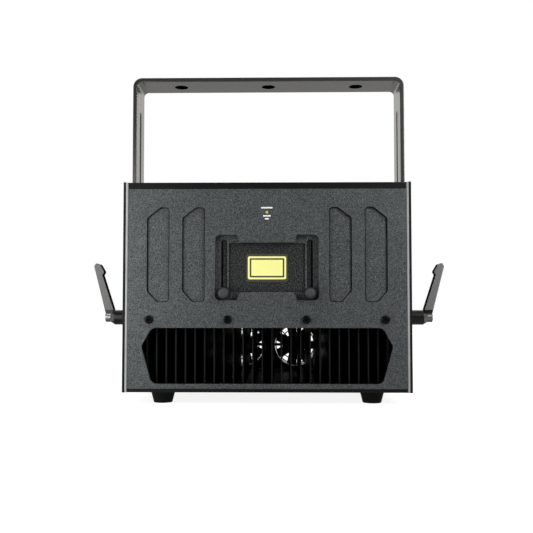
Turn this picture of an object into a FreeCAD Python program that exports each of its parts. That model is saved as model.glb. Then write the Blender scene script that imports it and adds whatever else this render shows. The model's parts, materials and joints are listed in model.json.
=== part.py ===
import FreeCAD, Part
import math
import os

# Laser show projector: a flat-fronted housing on rubber feet, hung in a slotted yoke.
# Millimetres. +Z is up, the front faces -Y, and the origin lies on the floor under the middle.

V = FreeCAD.Vector
RIGHT = V(1, 0, 0)
REARWARD = V(0, 1, 0)
UP = V(0, 0, 1)
FULL_TURN = 360.0
HALF_RIGHT_ANGLE = FULL_TURN / 8
HEXAGON_SIDES = 6

# Clearances
PANEL_GAP = 0.2
RUN_GAP = 0.15
SHAFT_CLEAR = 0.05
HOLE_CLEAR = 0.3
EDGE_BREAK = 0.4

# Housing shell
BODY_WIDTH = 320.0
BODY_DEPTH = 240.0
BODY_HEIGHT = 233.2
SIDE_THICK = 5.0
LID_THICK = 2.5
LIP_HEIGHT = 7.3
BASE_THICK = 3.8
FLANGE_THICK = 2.5
FLANGE_HEIGHT = 16.0
FRONT_THICK = 8.0
FRONT_SETBACK = 2.5
BEVEL_WIDTH = 3.2
REAR_THICK = 3.0
RAIL_WIDTH = 10.0
RAIL_HEIGHT = 15.0

# Rubber feet
FOOT_HEIGHT = 14.0
FOOT_TOP_RADIUS = 14.2
FOOT_BOTTOM_RADIUS = 10.5
FOOT_SIDE_INSET = 41.2
FOOT_END_INSET = 30.0
FOOT_RECESS_DEPTH = 6.0

# Cooling tunnel, bench and heat sink
FAN_SIZE = 60.0
FAN_DEPTH = 25.0
FAN_WALL = 1.5
FAN_HOLE_INSET = 5.0
FAN_SPACING = 12.0
FAN_CLEAR = 5.1
FAN_HUB_RADIUS = 14.0
FAN_BASE_THICK = 4.0
FAN_STRUT = 4.0
FAN_STRUTS = 4
FAN_SHAFT_RADIUS = 2.0
FAN_SHAFT_LENGTH = 14.0
FAN_TIP_GAP = 0.7
FAN_END_GAP = 1.5
BLADE_COUNT = 7
BLADE_CHORD = 15.0
BLADE_THICK = 1.4
BLADE_PITCH = 42.0
GUARD_THICK = 1.6
GUARD_BAR = 1.8
GUARD_FIRST = 8.0
GUARD_STEP = 6.4
GUARD_EYE_RADIUS = 4.2
GUARD_EYES = 4
BENCH_THICK = 12.2
SINK_BASE = 3.2
SINK_SIDE_GAP = 19.0
FIN_PITCH = 10.8
FIN_THICK = 1.5
FIN_SETBACK = 4.5
FIN_FLOOR_GAP = 1.2
PLENUM = 32.0

# Front panel: vent, pockets, lamp
VENT_SILL = 5.4
VENT_SIDE_LAND = 15.4
VENT_TIP_DROP = 20.4
VENT_TOP_RUN = 11.4
VENT_BOTTOM_RUN = 11.6
VENT_RADIUS = 8.0
VENT_TIP_RADIUS = 5.0
POCKETS_PER_SIDE = 2
POCKET_WIDTH = 25.0
POCKET_SPACING = 14.5
POCKET_SIDE_LAND = 21.0
POCKET_TOP_LAND = 20.5
POCKET_BOTTOM_LAND = 13.1
POCKET_DEPTH = 2.5
POCKET_GROOVE = 1.0
POCKET_GROOVE_DEPTH = 1.6
POCKET_TOP_RUN = 15.4
POCKET_TOP_DROP = 12.0
POCKET_BOTTOM_RUN = 11.2
POCKET_BOTTOM_RISE = 12.6
POCKET_RADIUS = 4.2
POCKET_BEND_RADIUS = 3.0
LAMP_RADIUS = 1.6
LAMP_LENGTH = 7.0
LAMP_PROUD = 0.6
LAMP_DROP = 0.4

# Aperture, shutter and window
AXIS_RISE = 51.7
APERTURE_DEPTH = 6.5
WAIST_HALF_WIDTH = 31.0
WAIST_RADIUS = 2.0
EAR_INNER = 33.0
EAR_OUTER = 57.4
EAR_HALF_HEIGHT = 36.2
EAR_RADIUS = 5.0
EAR_INNER_RADIUS = 2.2
WINDOW_HALF_WIDTH = 42.6
WINDOW_HALF_HEIGHT = 27.6
SLOT_X = 47.9
SLOT_RADIUS = 3.4
SLOT_TOP_RISE = 31.7
SHUTTER_THICK = 2.5
SHUTTER_OVERLAP = 3.6
SHUTTER_EDGE = 1.2
SHUTTER_EAR_RISE = 6.0
SHUTTER_TOP_LAND = 1.5
SHUTTER_BOTTOM_LAND = 2.6
LABEL_WIDTH = 46.4
LABEL_HEIGHT = 31.2
LABEL_THICK = 0.3
LABEL_RADIUS = 1.5
KNOB_DROP = 28.7
KNOB_RADIUS = 7.2
KNOB_PROUD = 9.0
KNOB_DOME = 6.6
KNOB_DISH_RADIUS = 2.4
KNOB_DISH_DEPTH = 0.6
KNOB_FLUTES = 14
KNOB_FLUTE_RADIUS = 0.8
KNOB_STUD_RADIUS = 2.9
GUIDE_WIDTH = 8.0
GUIDE_TOP_GAP = 5.2
FRAME_THICK = 4.0
FRAME_LAND = 7.0
FRAME_LIP = 2.0
SEAL_THICK = 0.8
GLASS_THICK = 2.5
GLASS_OVERLAP = 5.0

# Scanner
SCANNER_DEPTH = 36.0
SCANNER_STEP = 14.0
GALVO_RADIUS = 7.0
GALVO_LENGTH = 38.0
GALVO_STANDOFF = 11.0
GALVO_COLLAR_RADIUS = 9.0
GALVO_COLLAR = 3.0
SCAN_SHAFT_RADIUS = 1.5
SCAN_SHAFT_SEAT = 8.0
SCAN_MIRROR_THICK = 1.2
SCAN_MIRROR_WIDTH = 10.0
SCAN_MIRROR_LENGTH = 12.0
MOUNT_WALL = 5.0
MOUNT_THICK = 16.0

# Laser modules and combiner
LASER_COLOURS = ("blue", "green", "red")
LASER_LENGTH = 76.0
LASER_TOP_RISE = 14.0
LASER_BETWEEN = 6.0
LASER_SIDE_GAP = 10.0
LASER_MOUNT_GAP = 19.0
LASER_NOZZLE_RADIUS = 5.0
LASER_NOZZLE = 6.0
LASER_GAP = 22.0
LASER_GROOVE_COUNT = 6
LASER_GROOVE = 3.0
COMBINER_POST = 10.0
COMBINER_PLATE = 16.0
COMBINER_THICK = 1.6

# Electronics
SUPPLY_WIDTH = 78.0
SUPPLY_LENGTH = 78.0
SUPPLY_HEIGHT = 40.0
SUPPLY_SIDE_GAP = 4.0
SUPPLY_END_GAP = 4.0
SUPPLY_TERMINAL = 10.0
DRIVER_WIDTH = 62.0
DRIVER_LENGTH = 58.0
DRIVER_END_GAP = 14.0
BOARD_THICK = 1.6
STANDOFF_RADIUS = 3.0
STANDOFF_HEIGHT = 8.0
STANDOFF_INSET = 5.0
CHIP_HEIGHT = 6.0
CHIP_INSET = 12.0
BOARD_GAP = 14.0

# Rear connectors: the upper row hangs from the top edge, and the lower row lies between it and the bench
ROW_SIDE_LAND = 20.3
UPPER_ROW_DROP = 35.5
LOWER_ROW_DROP = 4.0
INLET_TOP_LAND = 27.5
INLET_WIDTH = 31.0
INLET_HEIGHT = 60.0
INLET_FLANGE = 3.0
INLET_BODY_LAND = 2.5
INLET_DEPTH = 27.0
PLUG_WIDTH = 24.4
PLUG_HEIGHT = 16.6
PLUG_DEPTH = 18.0
PLUG_CORNER = 5.0
PLUG_DROP = 13.0
PIN_WIDTH = 2.2
PIN_HEIGHT = 5.0
PIN_LENGTH = 11.0
PIN_SPREAD = 7.0
PIN_RISE = 1.4
ROCKER_RISE = 17.0
ROCKER_WIDTH = 20.0
ROCKER_HEIGHT = 13.0
ROCKER_DEPTH = 11.0
ROCKER_PROUD = 2.4
ROCKER_DIP = 2.2
ROCKER_PIVOT = 3.0
ROCKER_PIN_RADIUS = 1.2
ROCKER_PIN_LENGTH = 1.2
ROCKER_SWING_GAP = 1.2
ROCKER_TILT = 9.0
KEY_FLANGE_RADIUS = 11.0
KEY_FLANGE = 3.5
KEY_BODY_RADIUS = 8.0
KEY_BODY = 22.0
KEY_CORE_RADIUS = 5.5
KEY_CORE_DEPTH = 14.0
KEY_PROUD = 27.0
KEY_BLADE_WIDTH = 7.0
KEY_THICK = 2.2
KEY_BOW_RADIUS = 8.5
KEY_HOLE_RADIUS = 2.2
SIGNAL_FLANGE_WIDTH = 53.0
SIGNAL_FLANGE_HEIGHT = 12.5
SIGNAL_FLANGE = 1.2
SIGNAL_SHELL_WIDTH = 39.0
SIGNAL_SHELL_HEIGHT = 8.4
SIGNAL_SHELL_TAPER = 1.2
SIGNAL_PROUD = 6.0
SIGNAL_POST_X = 23.5
SIGNAL_POST_RADIUS = 2.8
DATA_COUNT = 3
SOCKET_SPACING = 12.0
SOCKET_WIDTH = 26.0
SOCKET_HEIGHT = 31.0
SOCKET_FLANGE = 2.2
SOCKET_CORNER = 3.0
SOCKET_BODY_RADIUS = 11.5
SOCKET_PINS = 3
SOCKET_PIN_RADIUS = 1.4
SOCKET_PIN_CIRCLE = 5.0
SOCKET_PIN_DEPTH = 9.0
SOCKET_LATCH = 5.0
JACK_WIDTH = 12.0
JACK_HEIGHT = 9.0
JACK_DEPTH = 11.0
EYE_BASE_HEIGHT = 30.0
EYE_THICK = 5.0
EYE_HOLE_RADIUS = 6.5
EYE_HOLE_GAP = 2.0
EYE_WALL = 6.0
EYE_SCREW_DROP = 15.0
EYE_SCREW_SPREAD = 7.0

# Yoke and clamps
PIVOT_DEPTH = 112.0
YOKE_REACH = 298.0
YOKE_WIDTH = 50.0
YOKE_THICK = 5.0
YOKE_BEND = 6.0
YOKE_EDGE = 0.8
YOKE_HOLE_RADIUS = 8.5
YOKE_HOLE_SIDE_INSET = 57.0
YOKE_SLOT_CLEAR = 0.3
YOKE_SLOT_TOP = 32.0
WASHER_THICK = 3.0
WASHER_RADIUS = 14.0
STUD_RADIUS = 4.0
STUD_GRIP = 18.0
COLLAR_RADIUS = 7.0
COLLAR_LENGTH = 5.0
INSERT_RADIUS = 5.0
INSERT_LENGTH = 18.5
HANDLE_LIFT_ROOM = 4.5
KEEPER_RADIUS = 2.5
KEEPER_GRIP = 10.0
KEEPER_HEAD_RADIUS = 4.4
KEEPER_HEAD = 4.0
KEEPER_SLOT = 1.4
KEEPER_SLOT_DEPTH = 1.6
HUB_RADIUS = 9.2
HUB_LENGTH = 20.0
HUB_TAPER = 5.0
HUB_SHOULDER = 5.0
BOSS_RADIUS = 5.8
BOSS_LENGTH = 6.2
ARM_WIDTH = 10.0
ARM_ROOT = 12.6
ARM_ROOT_OUT = 17.4
ARM_LEAN = 18.1
ARM_NECK = 8.2
ARM_NECK_RISE = 53.0
ARM_TIP_RISE = 68.4
ARM_BUMP = 2.2
ARM_BUMP_RISE = 57.0
ARM_SHOULDER_RISE = 64.0
ARM_TIP_WIDTH = 6.5
ARM_ROUND = 2.2
ARM_EDGE = 1.6

# Screws: shank radius, head radius, head height, length under the head
BUTTON_SHANK = 2.5
BUTTON_HEAD_RADIUS = 4.75
BUTTON_HEAD = 2.8
BUTTON_LENGTH = 22.0
FRONT_SCREW_SIDE_LAND = 23.7
FRONT_SCREWS = 4
FLAT_SHANK = 2.0
FLAT_HEAD_RADIUS = 4.0
FLAT_HEAD = 2.0
FLAT_LENGTH = 13.0
FLAT_END_INSET = 42.0
LID_SCREWS = 3
REAR_SHANK = 2.0
REAR_HEAD_RADIUS = 3.5
REAR_HEAD = 2.4
REAR_LENGTH = 13.0
REAR_SCREW_SIDE_INSET = 30.0
RAIL_SCREW_DROP = 5.0
FOOT_SHANK = 2.0
FOOT_HEAD_RADIUS = 3.8
FOOT_HEAD = 2.4
SOCKET_SHARE = 0.6
HEAD_ROUND_SHARE = 0.6

# Derived planes, front to back
REAR_REACH = KEY_PROUD
FRONT_REACH = KNOB_PROUD - FRONT_SETBACK
FRONT_EDGE = -(BODY_DEPTH + REAR_REACH - FRONT_REACH) / 2
FRONT_FACE = FRONT_EDGE + FRONT_SETBACK
FRONT_BACK = FRONT_FACE + FRONT_THICK
RECESS_FLOOR = FRONT_FACE + APERTURE_DEPTH
SHUTTER_FACE = FRONT_BACK + RUN_GAP
SHUTTER_BACK = SHUTTER_FACE + SHUTTER_THICK
FRAME_FACE = SHUTTER_BACK + RUN_GAP
FRAME_BACK = FRAME_FACE + FRAME_THICK
REAR_FACE = FRONT_EDGE + BODY_DEPTH
REAR_INSIDE = REAR_FACE - REAR_THICK
PIVOT_Y = FRONT_EDGE + PIVOT_DEPTH
EYE_Y = REAR_FACE + EYE_THICK + EYE_HOLE_RADIUS + EYE_HOLE_GAP
SCAN_Y = FRAME_BACK + SCANNER_DEPTH
LASER_FRONT = SCAN_Y + LASER_GAP

# Derived levels, bottom to top
UNDERSIDE = FOOT_HEIGHT
BASE_TOP = UNDERSIDE + BASE_THICK
FAN_LEVEL = BASE_TOP + FAN_CLEAR + FAN_SIZE / 2
BENCH_UNDERSIDE = BASE_TOP + FAN_SIZE + 2 * FAN_CLEAR
BENCH_TOP = BENCH_UNDERSIDE + BENCH_THICK
PIVOT_Z = (BENCH_UNDERSIDE + BENCH_TOP) / 2
SINK_UNDERSIDE = BENCH_UNDERSIDE - SINK_BASE
AXIS = BENCH_TOP + AXIS_RISE
BEAM = AXIS - SCANNER_STEP
LID_TOP = UNDERSIDE + BODY_HEIGHT
LID_UNDERSIDE = LID_TOP - LID_THICK
PANEL_TOP = LID_TOP - LIP_HEIGHT - PANEL_GAP
PANEL_BOTTOM = BASE_TOP + PANEL_GAP
YOKE_TOP = PIVOT_Z + YOKE_REACH
KNOB_Z = AXIS - KNOB_DROP
LAMP_Z = (AXIS + EAR_HALF_HEIGHT + PANEL_TOP) / 2 - LAMP_DROP
UPPER_ROW = PANEL_TOP - UPPER_ROW_DROP
LOWER_ROW = (BENCH_TOP + UPPER_ROW) / 2 - LOWER_ROW_DROP
INLET_Z = PANEL_TOP - INLET_TOP_LAND - INLET_HEIGHT / 2
RAIL_SCREW_Z = PANEL_TOP - RAIL_SCREW_DROP
FLANGE_SCREW_Z = BASE_TOP + FLANGE_HEIGHT / 2

# Derived half widths and places across
BODY_HALF = BODY_WIDTH / 2
INNER_HALF = BODY_HALF - SIDE_THICK
PANEL_HALF = INNER_HALF - PANEL_GAP
SINK_HALF = INNER_HALF - SINK_SIDE_GAP
FAN_X = (FAN_SPACING + FAN_SIZE) / 2
FAN_BORE_RADIUS = FAN_SIZE / 2 - FAN_WALL
FAN_HOLE = FAN_SIZE / 2 - FAN_HOLE_INSET
SHUTTER_HALF = SLOT_X + SLOT_RADIUS + SHUTTER_OVERLAP
GUIDE_X = SHUTTER_HALF + HOLE_CLEAR
YOKE_INNER = BODY_HALF + WASHER_THICK
YOKE_OUTER = YOKE_INNER + YOKE_THICK
RAIL_X = INNER_HALF - RAIL_WIDTH / 2
FOOT_X = BODY_HALF - FOOT_SIDE_INSET
REAR_SCREW_X = PANEL_HALF - REAR_SCREW_SIDE_INSET
MOUNT_HALF = GALVO_RADIUS + MOUNT_WALL
LASER_ROOM = INNER_HALF - LASER_SIDE_GAP - MOUNT_HALF - LASER_MOUNT_GAP
LASER_SPACING = (LASER_ROOM + LASER_BETWEEN) / len(LASER_COLOURS)
LASER_WIDTH = LASER_SPACING - LASER_BETWEEN
BLUE_X = -(INNER_HALF - LASER_SIDE_GAP - LASER_WIDTH / 2)
ROW_HALF = PANEL_HALF - ROW_SIDE_LAND
EYE_WIDTH = 2 * (EYE_HOLE_RADIUS + EYE_WALL)
ROW_WIDTHS = (SIGNAL_FLANGE_WIDTH, SIGNAL_FLANGE_WIDTH, EYE_WIDTH, 2 * KEY_FLANGE_RADIUS, INLET_WIDTH)
ROW_GAP = (2 * ROW_HALF - sum(ROW_WIDTHS)) / (len(ROW_WIDTHS) - 1)
ROW_PLACES = [sum(ROW_WIDTHS[:place]) + place * ROW_GAP + width / 2 - ROW_HALF
              for place, width in enumerate(ROW_WIDTHS)]
SIGNAL_X = ROW_PLACES[:2]
EYE_X, KEY_X, INLET_X = ROW_PLACES[2:]
SOCKET_PITCH = SOCKET_WIDTH + SOCKET_SPACING
DATA_X = [place * SOCKET_PITCH + SOCKET_WIDTH / 2 - ROW_HALF for place in range(DATA_COUNT)]
NETWORK_X = DATA_X[-1] + SOCKET_PITCH
SUPPLY_X = INNER_HALF - SUPPLY_SIDE_GAP - SUPPLY_WIDTH / 2
DRIVER_X = INNER_HALF - SUPPLY_SIDE_GAP - DRIVER_WIDTH / 2

# Derived places along the clamp's axis, outwards from the face of the yoke
HUB_START = COLLAR_LENGTH + HOLE_CLEAR
HUB_END = HUB_START + HUB_LENGTH
BOSS_END = HUB_END + HUB_TAPER + BOSS_LENGTH
INSERT_END = COLLAR_LENGTH + INSERT_LENGTH
SHOULDER_OUT = INSERT_END + RUN_GAP + HUB_SHOULDER
KEEPER_SEAT = SHOULDER_OUT + HANDLE_LIFT_ROOM


# Shape helpers

def block(x0, x1, y0, y1, z0, z1):
    """Box between two corners."""
    return Part.makeBox(x1 - x0, y1 - y0, z1 - z0, V(x0, y0, z0))


def rod(radius, start, end):
    """Cylinder from one point to another."""
    axis = end.sub(start)
    return Part.makeCylinder(radius, axis.Length, start, axis)


def slab(x, width, y0, y1, z0, z1):
    """Box centred on a place across."""
    return block(x - width / 2, x + width / 2, y0, y1, z0, z1)


def depth_rod(radius, x, z, y0, y1):
    """Cylinder that runs from front to back."""
    return rod(radius, V(x, y0, z), V(x, y1, z))


def cone(radius, end_radius, start, end):
    """Cone or taper from one point to another."""
    axis = end.sub(start)
    return Part.makeCone(radius, end_radius, axis.Length, start, axis)


def tube(outer, inner, start, end):
    """Round sleeve from one point to another."""
    return rod(outer, start, end).cut(rod(inner, start, end))


def rounded_face(corners):
    """Flat face through (point, corner radius) pairs, with an arc at each rounded corner."""
    arcs = []
    for index, (point, radius) in enumerate(corners):
        before = corners[index - 1][0].sub(point).normalize()
        after = corners[(index + 1) % len(corners)][0].sub(point).normalize()
        half_angle = before.getAngle(after) / 2
        inward = before.add(after).normalize()
        reach = radius / math.tan(half_angle)
        middle = point.add(inward * (radius / math.sin(half_angle) - radius))
        arcs.append((point.add(before * reach), middle, point.add(after * reach), radius))
    edges = []
    for index, (first, middle, last, radius) in enumerate(arcs):
        if radius > 0:
            edges.append(Part.Arc(first, middle, last).toShape())
        edges.append(Part.LineSegment(last, arcs[(index + 1) % len(arcs)][0]).toShape())
    return Part.Face(Part.Wire(edges))


def upright_prism(outline, y0, y1):
    """Solid with an (x, z, corner radius) outline, running from y0 to y1."""
    corners = [(V(x, y0, z), radius) for x, z, radius in outline]
    return rounded_face(corners).extrude(V(0, y1 - y0, 0))


def rounded_block(x, z, width, height, radius, y0, y1):
    """Upright block with rounded corners about a middle point."""
    half_width = width / 2
    half_height = height / 2
    outline = [(x - half_width, z - half_height, radius), (x + half_width, z - half_height, radius),
               (x + half_width, z + half_height, radius), (x - half_width, z + half_height, radius)]
    return upright_prism(outline, y0, y1)


def both_sides(half_outline):
    """Closed outline from its right half, listed from top to bottom."""
    return half_outline + [(-x, z, radius) for x, z, radius in reversed(half_outline)]


def mirrored(shape):
    """The same shape on the other side of the middle plane."""
    return shape.mirror(V(0, 0, 0), RIGHT)


def pair(shape):
    """A shape and its mirror image."""
    return [shape, mirrored(shape)]


def joined(*shapes):
    """One solid from shapes that overlap or share a face."""
    return shapes[0].fuse(list(shapes[1:])).removeSplitter().Solids[0]


def cut(shape, *cutters):
    """A shape less its cutters, as one solid."""
    return shape.cut(list(cutters)).Solids[0]


def turned_copies(shape, count, centre, axis):
    """Copies of a shape spaced evenly round an axis."""
    copies = []
    for index in range(count):
        copy = shape.copy()
        copy.rotate(centre, axis, FULL_TURN * index / count)
        copies.append(copy)
    return copies


def spread(count, half_span):
    """Places spaced evenly over a span about the middle."""
    return [half_span * (2 * index / (count - 1) - 1) for index in range(count)]


def hexagon_socket(seat, out, radius, depth):
    """Cutter for a hexagon socket that goes into a head from its outer face."""
    circle = Part.makeCircle(radius, seat, out)
    points = circle.discretize(HEXAGON_SIDES + 1)
    return Part.Face(Part.makePolygon(points)).extrude(out * -depth)


def headed_screw(seat, out, shank, head_radius, head, length):
    """Button-head screw: its head stands on the seat and its shank goes in."""
    top = seat.add(out * head)
    round_head = rod(head_radius, seat, top)
    rim = [edge for edge in round_head.Edges if edge.CenterOfMass.isEqual(top, EDGE_BREAK)]
    round_head = round_head.makeFillet(head * HEAD_ROUND_SHARE, rim)
    screw = joined(round_head, rod(shank, seat, seat.add(out * -length)))
    return cut(screw, hexagon_socket(top, out, shank * SOCKET_SHARE, head * SOCKET_SHARE))


def flat_screw(seat, out):
    """Countersunk screw, flush with the seat."""
    neck = seat.add(out * -FLAT_HEAD)
    head = cone(FLAT_HEAD_RADIUS, FLAT_SHANK, seat, neck)
    screw = joined(head, rod(FLAT_SHANK, neck, seat.add(out * -FLAT_LENGTH)))
    return cut(screw, hexagon_socket(seat, out, FLAT_SHANK * SOCKET_SHARE, FLAT_HEAD * SOCKET_SHARE))


def flat_screw_hole(seat, out):
    """Cutter for a countersunk screw in the wall that it holds."""
    neck = seat.add(out * -FLAT_HEAD)
    sink = cone(FLAT_HEAD_RADIUS, FLAT_SHANK, seat, neck)
    return sink.fuse(rod(FLAT_SHANK + SHAFT_CLEAR, neck, seat.add(out * -FLAT_LENGTH)))


def thread_hole(seat, out, radius, length):
    """Cutter for the tapped hole that a screw's shank sits in."""
    return rod(radius + SHAFT_CLEAR, seat.add(out * radius), seat.add(out * -length))


# Places of the screws

def front_screw_seats():
    """Seats of the front panel's screws, in a row at the height of the bench."""
    outermost = PANEL_HALF - FRONT_SCREW_SIDE_LAND
    return [V(x, FRONT_FACE, PIVOT_Z) for x in spread(FRONT_SCREWS, outermost)]


def side_screw_seats():
    """Seats of the right side panel's screws: into the rail, the bench and the base flange."""
    depths = (FRONT_EDGE + FLAT_END_INSET, REAR_FACE - FLAT_END_INSET)
    levels = (RAIL_SCREW_Z, PIVOT_Z, FLANGE_SCREW_Z)
    return [V(BODY_HALF, y, z) for y in depths for z in levels]


def lid_screw_seats():
    """Seats of the lid's screws, along both rails."""
    middle = (FRONT_EDGE + REAR_FACE) / 2
    half_span = BODY_DEPTH / 2 - FOOT_END_INSET
    return [V(x, middle + y, LID_TOP) for x in (-RAIL_X, RAIL_X) for y in spread(LID_SCREWS, half_span)]


def panel_screw_seats():
    """Seats of the rear panel's own screws: into the bench and into the ends of the rails."""
    bench = [V(x, REAR_FACE, PIVOT_Z) for x in (-REAR_SCREW_X, REAR_SCREW_X)]
    rails = [V(x, REAR_FACE, RAIL_SCREW_Z) for x in (-RAIL_X, RAIL_X)]
    return bench + rails


def fan_screw_seats():
    """Seats of the fans' screws, on the eyes of the guards."""
    return [V(side * FAN_X + x, REAR_FACE + GUARD_THICK, FAN_LEVEL + z)
            for side in (-1, 1) for x in (-FAN_HOLE, FAN_HOLE) for z in (-FAN_HOLE, FAN_HOLE)]


def eye_screw_seats():
    """Seats of the screws that hold the safety eye."""
    return [V(EYE_X + x, REAR_FACE + EYE_THICK, UPPER_ROW - EYE_SCREW_DROP)
            for x in (-EYE_SCREW_SPREAD, EYE_SCREW_SPREAD)]


def foot_centres():
    """Centres of the feet under the base, by node name."""
    depths = {"front": FRONT_EDGE + FOOT_END_INSET, "rear": REAR_FACE - FOOT_END_INSET}
    sides = {"left": -FOOT_X, "right": FOOT_X}
    return {f"{end}_{side}_foot": V(x, y, 0) for end, y in depths.items() for side, x in sides.items()}


# Housing shell

def pocket_outlines():
    """The two pockets in the right half of the front panel, cut away on their outer corners."""
    top = PANEL_TOP - POCKET_TOP_LAND
    bottom = BENCH_TOP + POCKET_BOTTOM_LAND
    outlines = []
    for index in range(POCKETS_PER_SIDE):
        outer = PANEL_HALF - POCKET_SIDE_LAND - index * (POCKET_WIDTH + POCKET_SPACING)
        inner = outer - POCKET_WIDTH
        outlines.append([
            (inner, top, POCKET_RADIUS),
            (outer - POCKET_TOP_RUN, top, POCKET_BEND_RADIUS),
            (outer, top - POCKET_TOP_DROP, POCKET_BEND_RADIUS),
            (outer, bottom + POCKET_BOTTOM_RISE, POCKET_BEND_RADIUS),
            (outer - POCKET_BOTTOM_RUN, bottom, POCKET_BEND_RADIUS),
            (inner, bottom, POCKET_RADIUS),
        ])
    return outlines


def pocket_groove(outline):
    """Cutter for the narrow groove along the foot of a pocket's wall."""
    floor = FRONT_FACE + POCKET_DEPTH
    edge = rounded_face([(V(x, floor, z), radius) for x, z, radius in outline])
    return edge.cut(edge.makeOffset2D(-POCKET_GROOVE)).extrude(REARWARD * POCKET_GROOVE_DEPTH)


def aperture_outline():
    """Recess round the aperture: a wide waist between two taller ears."""
    return both_sides([
        (WAIST_HALF_WIDTH, AXIS + WINDOW_HALF_HEIGHT, WAIST_RADIUS),
        (EAR_INNER, AXIS + EAR_HALF_HEIGHT, EAR_INNER_RADIUS),
        (EAR_OUTER, AXIS + EAR_HALF_HEIGHT, EAR_RADIUS),
        (EAR_OUTER, AXIS - EAR_HALF_HEIGHT, EAR_RADIUS),
        (EAR_INNER, AXIS - EAR_HALF_HEIGHT, EAR_INNER_RADIUS),
        (WAIST_HALF_WIDTH, AXIS - WINDOW_HALF_HEIGHT, WAIST_RADIUS),
    ])


def vent_outline():
    """Air opening in front of the fins, pointed at both ends."""
    tip = PANEL_HALF - VENT_SIDE_LAND
    return both_sides([
        (tip - VENT_TOP_RUN, SINK_UNDERSIDE, VENT_RADIUS),
        (tip, SINK_UNDERSIDE - VENT_TIP_DROP, VENT_TIP_RADIUS),
        (tip - VENT_BOTTOM_RUN, BASE_TOP + VENT_SILL, VENT_RADIUS),
    ])


def knob_slot():
    """Right-hand slot in the front panel that the shutter's thumb screw slides in."""
    low = KNOB_Z
    high = AXIS + SLOT_TOP_RISE - SLOT_RADIUS
    run = slab(SLOT_X, 2 * SLOT_RADIUS, FRONT_FACE, FRONT_BACK, low, high)
    ends = [depth_rod(SLOT_RADIUS, SLOT_X, z, FRONT_FACE, FRONT_BACK) for z in (low, high)]
    return joined(run, *ends)


def front_panel():
    """Thick front plate with its recesses, slots, vent and holes, and a broken edge round each."""
    plate = block(-PANEL_HALF, PANEL_HALF, FRONT_FACE, FRONT_BACK, PANEL_BOTTOM, PANEL_TOP)
    pockets = []
    grooves = []
    for outline in pocket_outlines():
        pockets += pair(upright_prism(outline, FRONT_FACE, FRONT_FACE + POCKET_DEPTH))
        grooves += pair(pocket_groove(outline))
    recess = upright_prism(aperture_outline(), FRONT_FACE, RECESS_FLOOR)
    window = window_block(FRONT_FACE, FRONT_BACK)
    vent = upright_prism(vent_outline(), FRONT_FACE, FRONT_BACK)
    open_plate = cut(plate, recess, vent, *pockets)
    rims = [edge for edge in open_plate.Edges if on_front_rim(edge)]
    open_plate = open_plate.makeChamfer(EDGE_BREAK, rims)
    holes = [depth_rod(BUTTON_SHANK + HOLE_CLEAR, seat.x, seat.z, FRONT_FACE, FRONT_BACK)
             for seat in front_screw_seats()]
    holes.append(depth_rod(LAMP_RADIUS + SHAFT_CLEAR, 0, LAMP_Z, FRONT_FACE, FRONT_BACK))
    return cut(open_plate, window, *pair(knob_slot()), *grooves, *holes)


def on_front_rim(edge):
    """True for an edge round an opening in the face of the front panel."""
    box = edge.BoundBox
    in_face = box.YMax < FRONT_FACE + EDGE_BREAK
    at_side = min(abs(box.XMin), abs(box.XMax)) > PANEL_HALF - EDGE_BREAK
    at_end = box.ZMin > PANEL_TOP - EDGE_BREAK or box.ZMax < PANEL_BOTTOM + EDGE_BREAK
    return in_face and not at_side and not at_end


def right_side_panel():
    """Side plate with a bevel along its inner front edge and countersunk screw holes."""
    plate = block(INNER_HALF, BODY_HALF, FRONT_EDGE, REAR_FACE, UNDERSIDE, LID_TOP)
    bevel = Part.Face(Part.makePolygon([
        V(INNER_HALF, FRONT_EDGE, UNDERSIDE),
        V(INNER_HALF + BEVEL_WIDTH, FRONT_EDGE, UNDERSIDE),
        V(INNER_HALF, FRONT_FACE, UNDERSIDE),
        V(INNER_HALF, FRONT_EDGE, UNDERSIDE),
    ])).extrude(UP * BODY_HEIGHT)
    pivot = rod(STUD_RADIUS + HOLE_CLEAR, V(INNER_HALF, PIVOT_Y, PIVOT_Z), V(BODY_HALF, PIVOT_Y, PIVOT_Z))
    screws = [flat_screw_hole(seat, RIGHT) for seat in side_screw_seats()]
    panel = cut(plate, bevel, pivot, *screws)
    outer = [edge for edge in panel.Edges if on_outer_border(edge)]
    return panel.makeChamfer(EDGE_BREAK, outer)


def on_outer_border(edge):
    """True for the four border edges of the side panel's outer face."""
    box = edge.BoundBox
    return box.XMin > BODY_HALF - EDGE_BREAK and max(box.YLength, box.ZLength) > BODY_HEIGHT / 2


def top_cover():
    """Folded lid between the side panels, with a lip down the front and the rear."""
    sheet = block(-PANEL_HALF, PANEL_HALF, FRONT_FACE, REAR_FACE, LID_UNDERSIDE, LID_TOP)
    lip_bottom = LID_TOP - LIP_HEIGHT
    front_lip = block(-PANEL_HALF, PANEL_HALF, FRONT_FACE, FRONT_FACE + LID_THICK, lip_bottom, LID_TOP)
    rear_lip = block(-PANEL_HALF, PANEL_HALF, REAR_FACE - LID_THICK, REAR_FACE, lip_bottom, LID_TOP)
    lid = joined(sheet, front_lip, rear_lip)
    top_edges = [edge for edge in lid.Edges if edge.BoundBox.ZMin > LID_TOP - EDGE_BREAK]
    folds = [edge for edge in top_edges if edge.BoundBox.YLength < EDGE_BREAK]
    lid = lid.makeFillet(LID_THICK / 2, folds)
    return cut(lid, *[flat_screw_hole(seat, UP) for seat in lid_screw_seats()])


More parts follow.
